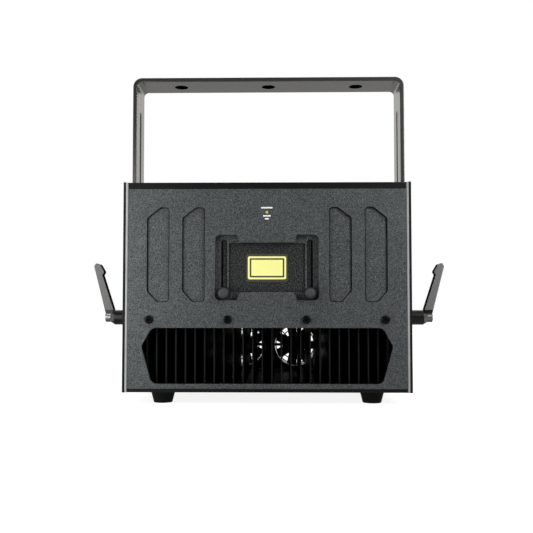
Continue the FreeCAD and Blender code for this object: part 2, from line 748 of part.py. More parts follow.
def base_plate():
    """Floor of the housing with a flange up each side."""
    sheet = block(-PANEL_HALF, PANEL_HALF, FRONT_FACE, REAR_FACE, UNDERSIDE, BASE_TOP)
    flange = block(PANEL_HALF - FLANGE_THICK, PANEL_HALF, FRONT_BACK, REAR_INSIDE,
                   UNDERSIDE, BASE_TOP + FLANGE_HEIGHT)
    tray = joined(sheet, *pair(flange))
    side_screws = []
    for seat in side_screw_seats():
        side_screws += pair(thread_hole(seat, RIGHT, FLAT_SHANK, FLAT_LENGTH))
    foot_screws = [thread_hole(centre, UP * -1, FOOT_SHANK, BASE_TOP) for centre in foot_centres().values()]
    return cut(tray, *side_screws, *foot_screws)


def right_top_rail():
    """Bar under the edge of the lid that the lid, side panel and rear panel are screwed to."""
    rail = slab(RAIL_X, RAIL_WIDTH, FRONT_BACK, REAR_INSIDE, LID_UNDERSIDE - RAIL_HEIGHT, LID_UNDERSIDE)
    holes = [thread_hole(seat, RIGHT, FLAT_SHANK, FLAT_LENGTH) for seat in side_screw_seats()]
    holes += [thread_hole(seat, UP, FLAT_SHANK, FLAT_LENGTH) for seat in lid_screw_seats()]
    holes += [thread_hole(seat, REARWARD, REAR_SHANK, REAR_LENGTH) for seat in panel_screw_seats()]
    return cut(rail, *holes)


def rear_panel():
    """Rear plate with the fan openings and the cut-outs for the connectors."""
    plate = block(-PANEL_HALF, PANEL_HALF, REAR_INSIDE, REAR_FACE, PANEL_BOTTOM, PANEL_TOP)
    cutters = pair(depth_rod(FAN_BORE_RADIUS, FAN_X, FAN_LEVEL, REAR_INSIDE, REAR_FACE))
    for seat in panel_screw_seats() + fan_screw_seats() + eye_screw_seats():
        cutters.append(depth_rod(REAR_SHANK + HOLE_CLEAR, seat.x, seat.z, REAR_INSIDE, REAR_FACE))
    for x in DATA_X + [NETWORK_X]:
        cutters.append(depth_rod(SOCKET_BODY_RADIUS + PANEL_GAP, x, LOWER_ROW, REAR_INSIDE, REAR_FACE))
    for x in SIGNAL_X:
        cutters.append(signal_shell(x, REAR_INSIDE, REAR_FACE, PANEL_GAP))
    cutters.append(depth_rod(KEY_BODY_RADIUS + PANEL_GAP, KEY_X, UPPER_ROW, REAR_INSIDE, REAR_FACE))
    cutters.append(inlet_body(REAR_INSIDE, REAR_FACE, PANEL_GAP))
    return cut(plate, *cutters)


# Feet and screws

def foot(centre):
    """Tapered rubber foot with a recess for its screw."""
    top = V(centre.x, centre.y, FOOT_HEIGHT)
    pad = cone(FOOT_BOTTOM_RADIUS, FOOT_TOP_RADIUS, centre, top)
    recess = rod(FOOT_HEAD_RADIUS + HOLE_CLEAR, centre, centre.add(UP * FOOT_RECESS_DEPTH))
    return cut(pad, recess, rod(FOOT_SHANK + SHAFT_CLEAR, centre, top))


def screw_groups():
    """Fasteners, one group of solids for each kind of place."""
    front = [headed_screw(seat, REARWARD * -1, BUTTON_SHANK, BUTTON_HEAD_RADIUS, BUTTON_HEAD, BUTTON_LENGTH)
             for seat in front_screw_seats()]
    side = []
    for seat in side_screw_seats():
        side += pair(flat_screw(seat, RIGHT))
    lid = [flat_screw(seat, UP) for seat in lid_screw_seats()]
    rear = [headed_screw(seat, REARWARD, REAR_SHANK, REAR_HEAD_RADIUS, REAR_HEAD, REAR_LENGTH)
            for seat in panel_screw_seats() + fan_screw_seats() + eye_screw_seats()]
    feet = [headed_screw(centre.add(UP * FOOT_RECESS_DEPTH), UP * -1, FOOT_SHANK, FOOT_HEAD_RADIUS, FOOT_HEAD,
                         BASE_TOP - FOOT_RECESS_DEPTH)
            for centre in foot_centres().values()]
    return {"front_panel_screws": Part.makeCompound(front), "side_panel_screws": Part.makeCompound(side),
            "top_cover_screws": Part.makeCompound(lid), "rear_screws": Part.makeCompound(rear),
            "foot_screws": Part.makeCompound(feet)}


# Cooling tunnel

def optical_bench():
    """Thick plate that divides the housing, tapped along its edges."""
    plate = block(-INNER_HALF, INNER_HALF, FRONT_BACK, REAR_INSIDE, BENCH_UNDERSIDE, BENCH_TOP)
    holes = [thread_hole(seat, REARWARD * -1, BUTTON_SHANK, BUTTON_LENGTH) for seat in front_screw_seats()]
    holes += [thread_hole(seat, REARWARD, REAR_SHANK, REAR_LENGTH) for seat in panel_screw_seats()]
    for seat in side_screw_seats():
        holes += pair(thread_hole(seat, RIGHT, FLAT_SHANK, FLAT_LENGTH))
    stud_end = V(INNER_HALF - STUD_GRIP, PIVOT_Y, PIVOT_Z)
    stud = rod(STUD_RADIUS + SHAFT_CLEAR, stud_end, V(BODY_HALF, PIVOT_Y, PIVOT_Z))
    return cut(plate, *holes, *pair(stud))


def heat_sink():
    """Finned block under the bench."""
    front = FRONT_BACK + FIN_SETBACK
    rear = REAR_INSIDE - FAN_DEPTH - PLENUM
    base = block(-SINK_HALF, SINK_HALF, front, rear, SINK_UNDERSIDE, BENCH_UNDERSIDE)
    count = int((2 * SINK_HALF - FIN_THICK) / FIN_PITCH) + 1
    fins = [slab(x, FIN_THICK, front, rear, BASE_TOP + FIN_FLOOR_GAP, BENCH_UNDERSIDE)
            for x in spread(count, (count - 1) * FIN_PITCH / 2)]
    return joined(base, *fins)


def right_fan_frame():
    """Square fan housing with a motor base on struts, and the shaft that carries the rotor."""
    front = REAR_INSIDE - FAN_DEPTH
    centre = V(FAN_X, REAR_INSIDE, FAN_LEVEL)
    base_face = centre.add(REARWARD * -FAN_BASE_THICK)
    shell = rounded_block(FAN_X, FAN_LEVEL, FAN_SIZE, FAN_SIZE, FAN_HOLE_INSET, front, REAR_INSIDE)
    holes = [thread_hole(seat, REARWARD, REAR_SHANK, REAR_LENGTH) for seat in fan_screw_seats()]
    shell = cut(shell, depth_rod(FAN_BORE_RADIUS, FAN_X, FAN_LEVEL, front, REAR_INSIDE), *holes)
    strut = block(FAN_X, FAN_X + FAN_BORE_RADIUS + FAN_WALL / 2, base_face.y, REAR_INSIDE,
                  FAN_LEVEL - FAN_STRUT / 2, FAN_LEVEL + FAN_STRUT / 2)
    base = rod(FAN_HUB_RADIUS, base_face, centre)
    shaft = rod(FAN_SHAFT_RADIUS, base_face.add(REARWARD * -FAN_SHAFT_LENGTH), centre)
    return joined(shell, base, shaft, *turned_copies(strut, FAN_STRUTS, centre, REARWARD))


def right_fan_rotor():
    """Fan hub and its blades, bored for the shaft."""
    front = REAR_INSIDE - FAN_DEPTH + FAN_END_GAP
    rear = REAR_INSIDE - FAN_BASE_THICK - FAN_END_GAP / 2
    nose = V(FAN_X, front, FAN_LEVEL)
    heel = V(FAN_X, rear, FAN_LEVEL)
    sweep = tube(FAN_BORE_RADIUS - FAN_TIP_GAP, FAN_HUB_RADIUS - FAN_WALL, nose, heel)
    blade = block(FAN_X, FAN_X + FAN_BORE_RADIUS, -BLADE_THICK / 2, BLADE_THICK / 2,
                  -BLADE_CHORD / 2, BLADE_CHORD / 2)
    blade.rotate(V(0, 0, 0), RIGHT, BLADE_PITCH)
    blade.translate(V(0, (front + rear) / 2, FAN_LEVEL))
    blade = blade.common(sweep)
    hub = rod(FAN_HUB_RADIUS, nose, heel)
    rotor = joined(hub, *turned_copies(blade, BLADE_COUNT, nose, REARWARD))
    shaft_end = REAR_INSIDE - FAN_BASE_THICK - FAN_SHAFT_LENGTH - RUN_GAP
    return cut(rotor, depth_rod(FAN_SHAFT_RADIUS + SHAFT_CLEAR, FAN_X, FAN_LEVEL, shaft_end, rear))


def right_fan_guard():
    """Stamped finger guard: rings on a cross of two bars, with an eye at each corner."""
    centre = V(FAN_X, REAR_FACE, FAN_LEVEL)
    outer = centre.add(REARWARD * GUARD_THICK)
    count = int((FAN_BORE_RADIUS - GUARD_FIRST) / GUARD_STEP) + 1
    rings = []
    for index in range(count):
        radius = GUARD_FIRST + index * GUARD_STEP
        rings.append(tube(radius + GUARD_BAR / 2, radius - GUARD_BAR / 2, centre, outer))
    reach = FAN_HOLE * math.sqrt(2)
    half_bar = GUARD_BAR / 2
    bar = block(FAN_X, FAN_X + reach, REAR_FACE, outer.y, FAN_LEVEL - half_bar, FAN_LEVEL + half_bar)
    eye = depth_rod(GUARD_EYE_RADIUS, FAN_X + reach, FAN_LEVEL, REAR_FACE, outer.y)
    hole = depth_rod(REAR_SHANK + HOLE_CLEAR, FAN_X + reach, FAN_LEVEL, REAR_FACE, outer.y)
    corner = bar.fuse(eye).cut(hole)
    corner.rotate(centre, REARWARD, HALF_RIGHT_ANGLE)
    return joined(*turned_copies(corner, GUARD_EYES, centre, REARWARD), *rings)


# Aperture

def aperture_shutter():
    """Plate behind the front panel that closes the aperture, with low ears tapped for the thumb screws."""
    top = AXIS + SLOT_TOP_RISE + SHUTTER_TOP_LAND
    bottom = KNOB_Z - SLOT_RADIUS - SHUTTER_BOTTOM_LAND
    half_width = SLOT_X + SHUTTER_EDGE
    plate = block(-half_width, half_width, SHUTTER_FACE, SHUTTER_BACK, bottom, top)
    ears = block(-SHUTTER_HALF, SHUTTER_HALF, SHUTTER_FACE, SHUTTER_BACK, bottom, KNOB_Z + SHUTTER_EAR_RISE)
    thread = depth_rod(KNOB_STUD_RADIUS + SHAFT_CLEAR, SLOT_X, KNOB_Z, SHUTTER_FACE, SHUTTER_BACK)
    return cut(joined(plate, ears), label_plate(), *pair(thread))


def label_plate():
    """Blank plate let into the face of the shutter."""
    back = SHUTTER_FACE + LABEL_THICK
    return rounded_block(0, AXIS, LABEL_WIDTH, LABEL_HEIGHT, LABEL_RADIUS, SHUTTER_FACE, back)


def right_shutter_knob():
    """Fluted thumb screw with a dished dome, its stud going through the slot into the shutter."""
    seat = V(SLOT_X, RECESS_FLOOR - RUN_GAP, KNOB_Z)
    top = V(SLOT_X, FRONT_FACE - KNOB_PROUD, KNOB_Z)
    grip = rod(KNOB_RADIUS, seat, top)
    rim = [edge for edge in grip.Edges if edge.BoundBox.YMax < top.y + EDGE_BREAK]
    grip = grip.makeFillet(KNOB_DOME, rim)
    flute_end = seat.add(REARWARD * -EDGE_BREAK)
    flute = rod(KNOB_FLUTE_RADIUS, flute_end.add(RIGHT * KNOB_RADIUS), top.add(RIGHT * KNOB_RADIUS))
    dish = rod(KNOB_DISH_RADIUS, top, top.add(REARWARD * KNOB_DISH_DEPTH))
    grip = cut(grip, dish, *turned_copies(flute, KNOB_FLUTES, seat, REARWARD))
    return joined(grip, rod(KNOB_STUD_RADIUS, seat, V(SLOT_X, SHUTTER_BACK, KNOB_Z)))


def window_frame():
    """Frame behind the shutter: it guides the shutter's edges and holds the glass."""
    half_width = GUIDE_X + GUIDE_WIDTH
    half_height = WINDOW_HALF_HEIGHT + GLASS_OVERLAP + FRAME_LAND
    plate = block(-half_width, half_width, FRAME_FACE, FRAME_BACK, AXIS - half_height, AXIS + half_height)
    guide = block(GUIDE_X, half_width, FRONT_BACK, FRAME_BACK,
                  AXIS - half_height, LID_UNDERSIDE - GUIDE_TOP_GAP)
    rebate = glass_block(FRAME_FACE + FRAME_LIP, FRAME_BACK, PANEL_GAP)
    return cut(joined(plate, *pair(guide)), window_block(FRAME_FACE, FRAME_BACK), rebate)


def window_block(y0, y1):
    """Block with the outline of the clear aperture."""
    return slab(0, 2 * WINDOW_HALF_WIDTH, y0, y1, AXIS - WINDOW_HALF_HEIGHT, AXIS + WINDOW_HALF_HEIGHT)


def glass_block(y0, y1, margin):
    """Block with the outline of the window glass, grown by a margin."""
    half_width = WINDOW_HALF_WIDTH + GLASS_OVERLAP + margin
    half_height = WINDOW_HALF_HEIGHT + GLASS_OVERLAP + margin
    return slab(0, 2 * half_width, y0, y1, AXIS - half_height, AXIS + half_height)


def window_seal():
    """Gasket between the frame and the glass."""
    face = FRAME_FACE + FRAME_LIP
    back = face + SEAL_THICK
    return cut(glass_block(face, back, 0), window_block(face, back))


def aperture_window():
    """Flat glass on the gasket."""
    face = FRAME_FACE + FRAME_LIP + SEAL_THICK
    return glass_block(face, face + GLASS_THICK, 0)


def emission_lamp():
    """Small indicator lamp with a domed end, set in the front panel."""
    tip = V(0, FRONT_FACE - LAMP_PROUD, LAMP_Z)
    lamp = rod(LAMP_RADIUS, tip, tip.add(REARWARD * LAMP_LENGTH))
    rim = [edge for edge in lamp.Edges if edge.BoundBox.YMax < tip.y + EDGE_BREAK]
    return lamp.makeFillet(LAMP_PROUD, rim)


# Scanner: the beam comes in along +X, is turned up by one mirror and out by the other

def horizontal_galvo():
    """Motor behind the lower mirror, its shaft running front to back."""
    face = V(0, SCAN_Y + GALVO_STANDOFF, BEAM)
    body = joined(rod(GALVO_RADIUS, face, face.add(REARWARD * GALVO_LENGTH)),
                  rod(GALVO_COLLAR_RADIUS, face, face.add(REARWARD * GALVO_COLLAR)))
    seat_end = face.add(REARWARD * (SCAN_SHAFT_SEAT + RUN_GAP))
    return cut(body, rod(SCAN_SHAFT_RADIUS + SHAFT_CLEAR, face, seat_end))


def vertical_galvo():
    """Motor beside the upper mirror, its shaft running across."""
    face = V(GALVO_STANDOFF, SCAN_Y, AXIS)
    body = joined(rod(GALVO_RADIUS, face, face.add(RIGHT * GALVO_LENGTH)),
                  rod(GALVO_COLLAR_RADIUS, face, face.add(RIGHT * GALVO_COLLAR)))
    seat_end = face.add(RIGHT * (SCAN_SHAFT_SEAT + RUN_GAP))
    return cut(body, rod(SCAN_SHAFT_RADIUS + SHAFT_CLEAR, face, seat_end))


def horizontal_mirror():
    """Lower scan mirror, at 45 degrees on its shaft."""
    centre = V(0, SCAN_Y, BEAM)
    half_length = SCAN_MIRROR_LENGTH / 2
    half_width = SCAN_MIRROR_WIDTH / 2
    plate = block(-half_width, half_width, SCAN_Y - half_length, SCAN_Y + half_length,
                  BEAM - SCAN_MIRROR_THICK, BEAM)
    plate.rotate(centre, REARWARD, -HALF_RIGHT_ANGLE)
    end = V(0, SCAN_Y + GALVO_STANDOFF + SCAN_SHAFT_SEAT, BEAM)
    shaft = rod(SCAN_SHAFT_RADIUS, V(0, SCAN_Y + half_length - SCAN_SHAFT_RADIUS, BEAM), end)
    return joined(plate, shaft)


def vertical_mirror():
    """Upper scan mirror, at 45 degrees on its shaft."""
    centre = V(0, SCAN_Y, AXIS)
    half_length = SCAN_MIRROR_LENGTH / 2
    half_width = SCAN_MIRROR_WIDTH / 2
    plate = block(-half_length, half_length, SCAN_Y - half_width, SCAN_Y + half_width,
                  AXIS, AXIS + SCAN_MIRROR_THICK)
    plate.rotate(centre, RIGHT, HALF_RIGHT_ANGLE)
    end = V(GALVO_STANDOFF + SCAN_SHAFT_SEAT, SCAN_Y, AXIS)
    shaft = rod(SCAN_SHAFT_RADIUS, V(half_length - SCAN_SHAFT_RADIUS, SCAN_Y, AXIS), end)
    return joined(plate, shaft)


def scanner_mount():
    """Block on the bench that holds both motors."""
    start = GALVO_STANDOFF + GALVO_COLLAR
    rear_wall = block(-MOUNT_HALF, start + MOUNT_THICK, SCAN_Y + start, SCAN_Y + start + MOUNT_THICK,
                      BENCH_TOP, BEAM + MOUNT_HALF)
    side_wall = block(start, start + MOUNT_THICK, SCAN_Y - MOUNT_HALF, SCAN_Y + start + MOUNT_THICK,
                      BENCH_TOP, AXIS + MOUNT_HALF)
    lower_bore = depth_rod(GALVO_RADIUS + SHAFT_CLEAR, 0, BEAM, SCAN_Y, SCAN_Y + start + GALVO_LENGTH)
    upper_bore = rod(GALVO_RADIUS + SHAFT_CLEAR, V(0, SCAN_Y, AXIS), V(start + GALVO_LENGTH, SCAN_Y, AXIS))
    return cut(joined(rear_wall, side_wall), lower_bore, upper_bore)


# Lasers and combiner

def laser_module(index):
    """Laser module on the bench: a grooved block with a nozzle that points to the front."""
    x = BLUE_X + index * LASER_SPACING
    top = BEAM + LASER_TOP_RISE
    body = slab(x, LASER_WIDTH, LASER_FRONT, LASER_FRONT + LASER_LENGTH, BENCH_TOP, top)
    grooves = []
    for y in spread(LASER_GROOVE_COUNT, LASER_LENGTH / 2 - LASER_GROOVE * 2):
        middle = LASER_FRONT + LASER_LENGTH / 2 + y
        grooves.append(slab(x, LASER_WIDTH, middle - LASER_GROOVE / 2, middle + LASER_GROOVE / 2,
                            top - LASER_GROOVE * 2, top))
    nozzle = depth_rod(LASER_NOZZLE_RADIUS, x, BEAM, LASER_FRONT - LASER_NOZZLE, LASER_FRONT)
    return joined(cut(body, *grooves), nozzle)


def combiner_mirrors():
    """One mirror on a post in front of each laser, turned to send its beam across to the scanner."""
    mirrors = []
    for index in range(len(LASER_COLOURS)):
        x = BLUE_X + index * LASER_SPACING
        half_post = COMBINER_POST / 2
        half_plate = COMBINER_PLATE / 2
        post = slab(x, COMBINER_POST, SCAN_Y - half_post, SCAN_Y + half_post, BENCH_TOP, BEAM - half_plate)
        plate = slab(x, COMBINER_PLATE, SCAN_Y - COMBINER_THICK / 2, SCAN_Y + COMBINER_THICK / 2,
                     BEAM - half_plate - COMBINER_THICK, BEAM + half_plate)
        plate.rotate(V(x, SCAN_Y, BEAM), UP, HALF_RIGHT_ANGLE)
        mirrors.append(joined(post, plate))
    return Part.makeCompound(mirrors)


# Electronics

def power_supply():
    """Closed supply box with a terminal ledge at its rear end."""
    rear = REAR_FACE + INLET_FLANGE - INLET_DEPTH - SUPPLY_END_GAP
    front = rear - SUPPLY_LENGTH
    top = BENCH_TOP + SUPPLY_HEIGHT
    box = slab(SUPPLY_X, SUPPLY_WIDTH, front, rear, BENCH_TOP, top)
    ledge = slab(SUPPLY_X, SUPPLY_WIDTH, rear - SUPPLY_TERMINAL, rear, top - SUPPLY_HEIGHT / 2, top)
    return cut(box, ledge)


def scanner_driver():
    """Driver board on four pillars, with its power stage along one edge."""
    half_width = DRIVER_WIDTH / 2
    front = FRAME_BACK + DRIVER_END_GAP
    rear = front + DRIVER_LENGTH
    level = BENCH_TOP + STANDOFF_HEIGHT
    board_top = level + BOARD_THICK
    board = slab(DRIVER_X, DRIVER_WIDTH, front, rear, level, board_top)
    pillars = [rod(STANDOFF_RADIUS, V(DRIVER_X + x, y, BENCH_TOP), V(DRIVER_X + x, y, level))
               for x in (STANDOFF_INSET - half_width, half_width - STANDOFF_INSET)
               for y in (front + STANDOFF_INSET, rear - STANDOFF_INSET)]
    stage = slab(DRIVER_X, DRIVER_WIDTH - 2 * CHIP_INSET, rear - CHIP_INSET, rear - CHIP_INSET / 2,
                 board_top, board_top + 2 * CHIP_HEIGHT)
    return joined(board, stage, *pillars)


def control_board():
    """Upright board against the backs of the rear sockets."""
    rear = REAR_INSIDE - BOARD_GAP
    left = SIGNAL_X[0] - SIGNAL_FLANGE_WIDTH / 2
    right = NETWORK_X + SOCKET_WIDTH / 2
    board = block(left, right, rear - BOARD_THICK, rear, LOWER_ROW - SOCKET_HEIGHT / 2,
                  UPPER_ROW + SIGNAL_FLANGE_HEIGHT / 2)
    chip = block(left + CHIP_INSET, (left + right) / 2, rear - BOARD_THICK - CHIP_HEIGHT, rear - BOARD_THICK,
                 LOWER_ROW, LOWER_ROW + 2 * CHIP_INSET)
    return joined(board, chip)


# Rear connectors

def inlet_body(y0, y1, margin):
    """Block with the outline of the mains module behind its flange, grown by a margin."""
    width = INLET_WIDTH - 2 * INLET_BODY_LAND + 2 * margin
    half_height = INLET_HEIGHT / 2 - INLET_BODY_LAND + margin
    return slab(INLET_X, width, y0, y1, INLET_Z - half_height, INLET_Z + half_height)


def rocker_axis():
    """Middle of the rocker's pivot."""
    return V(INLET_X, REAR_FACE + INLET_FLANGE - ROCKER_PIVOT, INLET_Z + ROCKER_RISE)


def mains_inlet():
    """Mains module: a plug socket with three pins, and a well for the rocker above it."""
    face = REAR_FACE + INLET_FLANGE
    flange = rounded_block(INLET_X, INLET_Z, INLET_WIDTH, INLET_HEIGHT, SOCKET_CORNER, REAR_FACE, face)
    shell = joined(flange, inlet_body(face - INLET_DEPTH, REAR_FACE, 0))
    plug_z = INLET_Z - PLUG_DROP
    left = INLET_X - PLUG_WIDTH / 2
    right = INLET_X + PLUG_WIDTH / 2
    low = plug_z - PLUG_HEIGHT / 2
    high = plug_z + PLUG_HEIGHT / 2
    socket = upright_prism([
        (left, low, EDGE_BREAK), (right, low, EDGE_BREAK),
        (right, high - PLUG_CORNER, EDGE_BREAK), (right - PLUG_CORNER, high, EDGE_BREAK),
        (left + PLUG_CORNER, high, EDGE_BREAK), (left, high - PLUG_CORNER, EDGE_BREAK),
    ], face - PLUG_DEPTH, face)
    axis = rocker_axis()
    well_half_height = ROCKER_HEIGHT / 2 + ROCKER_SWING_GAP
    well = slab(axis.x, ROCKER_WIDTH + 2 * HOLE_CLEAR, face - ROCKER_DEPTH - 2 * ROCKER_SWING_GAP, face,
                axis.z - well_half_height, axis.z + well_half_height)
    pivot_reach = RIGHT * (ROCKER_WIDTH / 2 + ROCKER_PIN_LENGTH + RUN_GAP)
    pivot = rod(ROCKER_PIN_RADIUS + SHAFT_CLEAR, axis.sub(pivot_reach), axis.add(pivot_reach))
    module = cut(shell, socket, well, pivot)
    pins = []
    foot_y = face - PLUG_DEPTH
    for side, rise in ((-1, -PIN_RISE), (0, PIN_RISE), (1, -PIN_RISE)):
        bottom = plug_z + rise - PIN_HEIGHT / 2
        pins.append(slab(INLET_X + side * PIN_SPREAD, PIN_WIDTH, foot_y - PIN_WIDTH, foot_y + PIN_LENGTH,
                         bottom, bottom + PIN_HEIGHT))
    return joined(module, *pins)


def mains_rocker():
    """Rocker with a dished face, turning on two short pins and at rest with its foot pressed in."""
    axis = rocker_axis()
    face = REAR_FACE + INLET_FLANGE
    half_height = ROCKER_HEIGHT / 2
    side = axis.x - ROCKER_WIDTH / 2
    profile = [V(side, face - ROCKER_DEPTH + half_height / 2, axis.z - half_height),
               V(side, face + ROCKER_PROUD, axis.z - half_height),
               V(side, face + ROCKER_PROUD - ROCKER_DIP, axis.z),
               V(side, face + ROCKER_PROUD, axis.z + half_height),
               V(side, face - ROCKER_DEPTH + half_height / 2, axis.z + half_height),
               V(side, face - ROCKER_DEPTH, axis.z)]
    paddle = Part.Face(Part.makePolygon(profile + profile[:1])).extrude(RIGHT * ROCKER_WIDTH)
    paddle.rotate(axis, RIGHT, -ROCKER_TILT)
    reach = RIGHT * (ROCKER_WIDTH / 2 + ROCKER_PIN_LENGTH)
    return joined(paddle, rod(ROCKER_PIN_RADIUS, axis.sub(reach), axis.add(reach)))


def key_switch():
    """Barrel of the key switch, bored for its core."""
    face = V(KEY_X, REAR_FACE, UPPER_ROW)
    flange = rod(KEY_FLANGE_RADIUS, face, face.add(REARWARD * KEY_FLANGE))
    body = rod(KEY_BODY_RADIUS, face.add(REARWARD * -KEY_BODY), face)
    mouth = REAR_FACE + KEY_FLANGE
    core_end = mouth - KEY_CORE_DEPTH - RUN_GAP
    core_bore = depth_rod(KEY_CORE_RADIUS + SHAFT_CLEAR, KEY_X, UPPER_ROW, core_end, mouth)
    return cut(joined(flange, body), core_bore)


def switch_key():
    """Turning core of the key switch with the key in it."""
    face = REAR_FACE + KEY_FLANGE
    core = depth_rod(KEY_CORE_RADIUS, KEY_X, UPPER_ROW, face - KEY_CORE_DEPTH, face)
    bow_y = REAR_FACE + KEY_PROUD - KEY_BOW_RADIUS
    half_blade = KEY_BLADE_WIDTH / 2
    blade = slab(KEY_X, KEY_THICK, face, bow_y, UPPER_ROW - half_blade, UPPER_ROW + half_blade)
    bow_start = V(KEY_X - KEY_THICK / 2, bow_y, UPPER_ROW)
    bow_end = V(KEY_X + KEY_THICK / 2, bow_y, UPPER_ROW)
    bow = rod(KEY_BOW_RADIUS, bow_start, bow_end)
    return cut(joined(core, blade, bow), rod(KEY_HOLE_RADIUS, bow_start, bow_end))


def signal_shell(x, y0, y1, margin):
    """D-shaped connector shell, narrower at its foot, grown by a margin."""
    half_width = SIGNAL_SHELL_WIDTH / 2 + margin
    half_height = SIGNAL_SHELL_HEIGHT / 2 + margin
    foot_width = half_width - SIGNAL_SHELL_TAPER
    outline = [(x - foot_width, UPPER_ROW - half_height, SIGNAL_SHELL_TAPER),
               (x + foot_width, UPPER_ROW - half_height, SIGNAL_SHELL_TAPER),
               (x + half_width, UPPER_ROW + half_height, SIGNAL_SHELL_TAPER),
               (x - half_width, UPPER_ROW + half_height, SIGNAL_SHELL_TAPER)]
    return upright_prism(outline, y0, y1)


def signal_sockets():
    """Two D-shaped signal sockets, each with a flange and two lock posts."""
    sockets = []
    for x in SIGNAL_X:
        shell = signal_shell(x, REAR_INSIDE - BOARD_GAP, REAR_FACE + SIGNAL_PROUD, 0)
        flange = rounded_block(x, UPPER_ROW, SIGNAL_FLANGE_WIDTH, SIGNAL_FLANGE_HEIGHT, SIGNAL_SHELL_TAPER,
                               REAR_FACE, REAR_FACE + SIGNAL_FLANGE)
        posts = [depth_rod(SIGNAL_POST_RADIUS, x + offset, UPPER_ROW, REAR_FACE, REAR_FACE + SIGNAL_PROUD)
                 for offset in (-SIGNAL_POST_X, SIGNAL_POST_X)]
        sockets.append(joined(shell, flange, *posts))
    return Part.makeCompound(sockets)


def socket_shell(x):
    """Round socket body with a rectangular flange, common to the data and network sockets."""
    face = REAR_FACE + SOCKET_FLANGE
    flange = rounded_block(x, LOWER_ROW, SOCKET_WIDTH, SOCKET_HEIGHT, SOCKET_CORNER, REAR_FACE, face)
    body = depth_rod(SOCKET_BODY_RADIUS, x, LOWER_ROW, REAR_INSIDE - BOARD_GAP, REAR_FACE)
    return joined(flange, body)


def data_sockets():
    """Three round data sockets with pin holes and a latch tab."""
    face = REAR_FACE + SOCKET_FLANGE
    sockets = []
    for x in DATA_X:
        centre = V(x, face, LOWER_ROW)
        hole = depth_rod(SOCKET_PIN_RADIUS, x + SOCKET_PIN_CIRCLE, LOWER_ROW, face - SOCKET_PIN_DEPTH, face)
        latch_z = LOWER_ROW + SOCKET_BODY_RADIUS
        latch = slab(x, SOCKET_LATCH, face, face + SOCKET_FLANGE, latch_z - SOCKET_LATCH / 2,
                     latch_z + SOCKET_LATCH / 2)
        holes = turned_copies(hole, SOCKET_PINS, centre, REARWARD)
        sockets.append(cut(joined(socket_shell(x), latch), *holes))
    return Part.makeCompound(sockets)


def network_socket():
    """Network socket: a square jack in the same round shell."""
    face = REAR_FACE + SOCKET_FLANGE
    jack = slab(NETWORK_X, JACK_WIDTH, face - JACK_DEPTH, face,
                LOWER_ROW - JACK_HEIGHT / 2, LOWER_ROW + JACK_HEIGHT / 2)
    return cut(socket_shell(NETWORK_X), jack)


def safety_eye():
    """Angle bracket on the rear panel with an upright hole for a safety wire."""
    half_width = EYE_WIDTH / 2
    left = EYE_X - half_width
    right = EYE_X + half_width
    top = UPPER_ROW + EYE_THICK / 2
    low = V(EYE_X, EYE_Y, top - EYE_THICK)
    high = V(EYE_X, EYE_Y, top)
    base = block(left, right, REAR_FACE, REAR_FACE + EYE_THICK, top - EYE_BASE_HEIGHT, top)
    tongue = block(left, right, REAR_FACE, EYE_Y, top - EYE_THICK, top)
    round_end = rod(half_width, low, high).common(block(left, right, EYE_Y, EYE_Y + half_width, low.z, top))
    holes = [rod(REAR_SHANK + HOLE_CLEAR, V(seat.x, REAR_FACE, seat.z), seat) for seat in eye_screw_seats()]
    return cut(joined(base, tongue, round_end), rod(EYE_HOLE_RADIUS, low, high), *holes)


# Yoke and clamps

def yoke_slot():
    """Cutter for the slots in both arms of the yoke."""
    radius = STUD_RADIUS + YOKE_SLOT_CLEAR
    high = YOKE_TOP - YOKE_THICK - YOKE_SLOT_TOP - radius
    run = block(-YOKE_OUTER, YOKE_OUTER, PIVOT_Y - radius, PIVOT_Y + radius, PIVOT_Z, high)
    ends = [rod(radius, V(-YOKE_OUTER, PIVOT_Y, z), V(YOKE_OUTER, PIVOT_Y, z)) for z in (PIVOT_Z, high)]
    return joined(run, *ends)


def yoke():
    """U of flat bar with rounded arm ends, a long slot in each arm and three holes in the top."""
    half_width = YOKE_WIDTH / 2
    low = PIVOT_Z - half_width
    inner_top = YOKE_TOP - YOKE_THICK
    front = PIVOT_Y - half_width
    rear = PIVOT_Y + half_width
    bar = upright_prism(both_sides([
        (YOKE_OUTER, YOKE_TOP, YOKE_BEND + YOKE_THICK), (YOKE_OUTER, low, 0), (YOKE_INNER, low, 0),
        (YOKE_INNER, inner_top, YOKE_BEND),
    ]), front, rear)
    end_blank = block(-YOKE_OUTER, YOKE_OUTER, front, rear, low, PIVOT_Z)
    round_end = rod(half_width, V(-YOKE_OUTER, PIVOT_Y, PIVOT_Z), V(YOKE_OUTER, PIVOT_Y, PIVOT_Z))
    bar = cut(bar, end_blank.cut(round_end))
    borders = [edge for edge in bar.Edges if on_yoke_border(edge)]
    bar = bar.makeFillet(YOKE_EDGE, borders)
    hole_x = YOKE_OUTER - YOKE_HOLE_SIDE_INSET
    holes = [rod(YOKE_HOLE_RADIUS, V(x, PIVOT_Y, inner_top), V(x, PIVOT_Y, YOKE_TOP))
             for x in (-hole_x, 0, hole_x)]
    return cut(bar, yoke_slot(), *holes)


def on_yoke_border(edge):
    """True for the edges along the front and the rear of the yoke's bar."""
    box = edge.BoundBox
    front = PIVOT_Y - YOKE_WIDTH / 2
    rear = PIVOT_Y + YOKE_WIDTH / 2
    flat = box.YLength < EDGE_BREAK
    at_border = abs(box.YMin - front) < EDGE_BREAK or abs(box.YMax - rear) < EDGE_BREAK
    return flat and at_border and edge.Length > YOKE_THICK


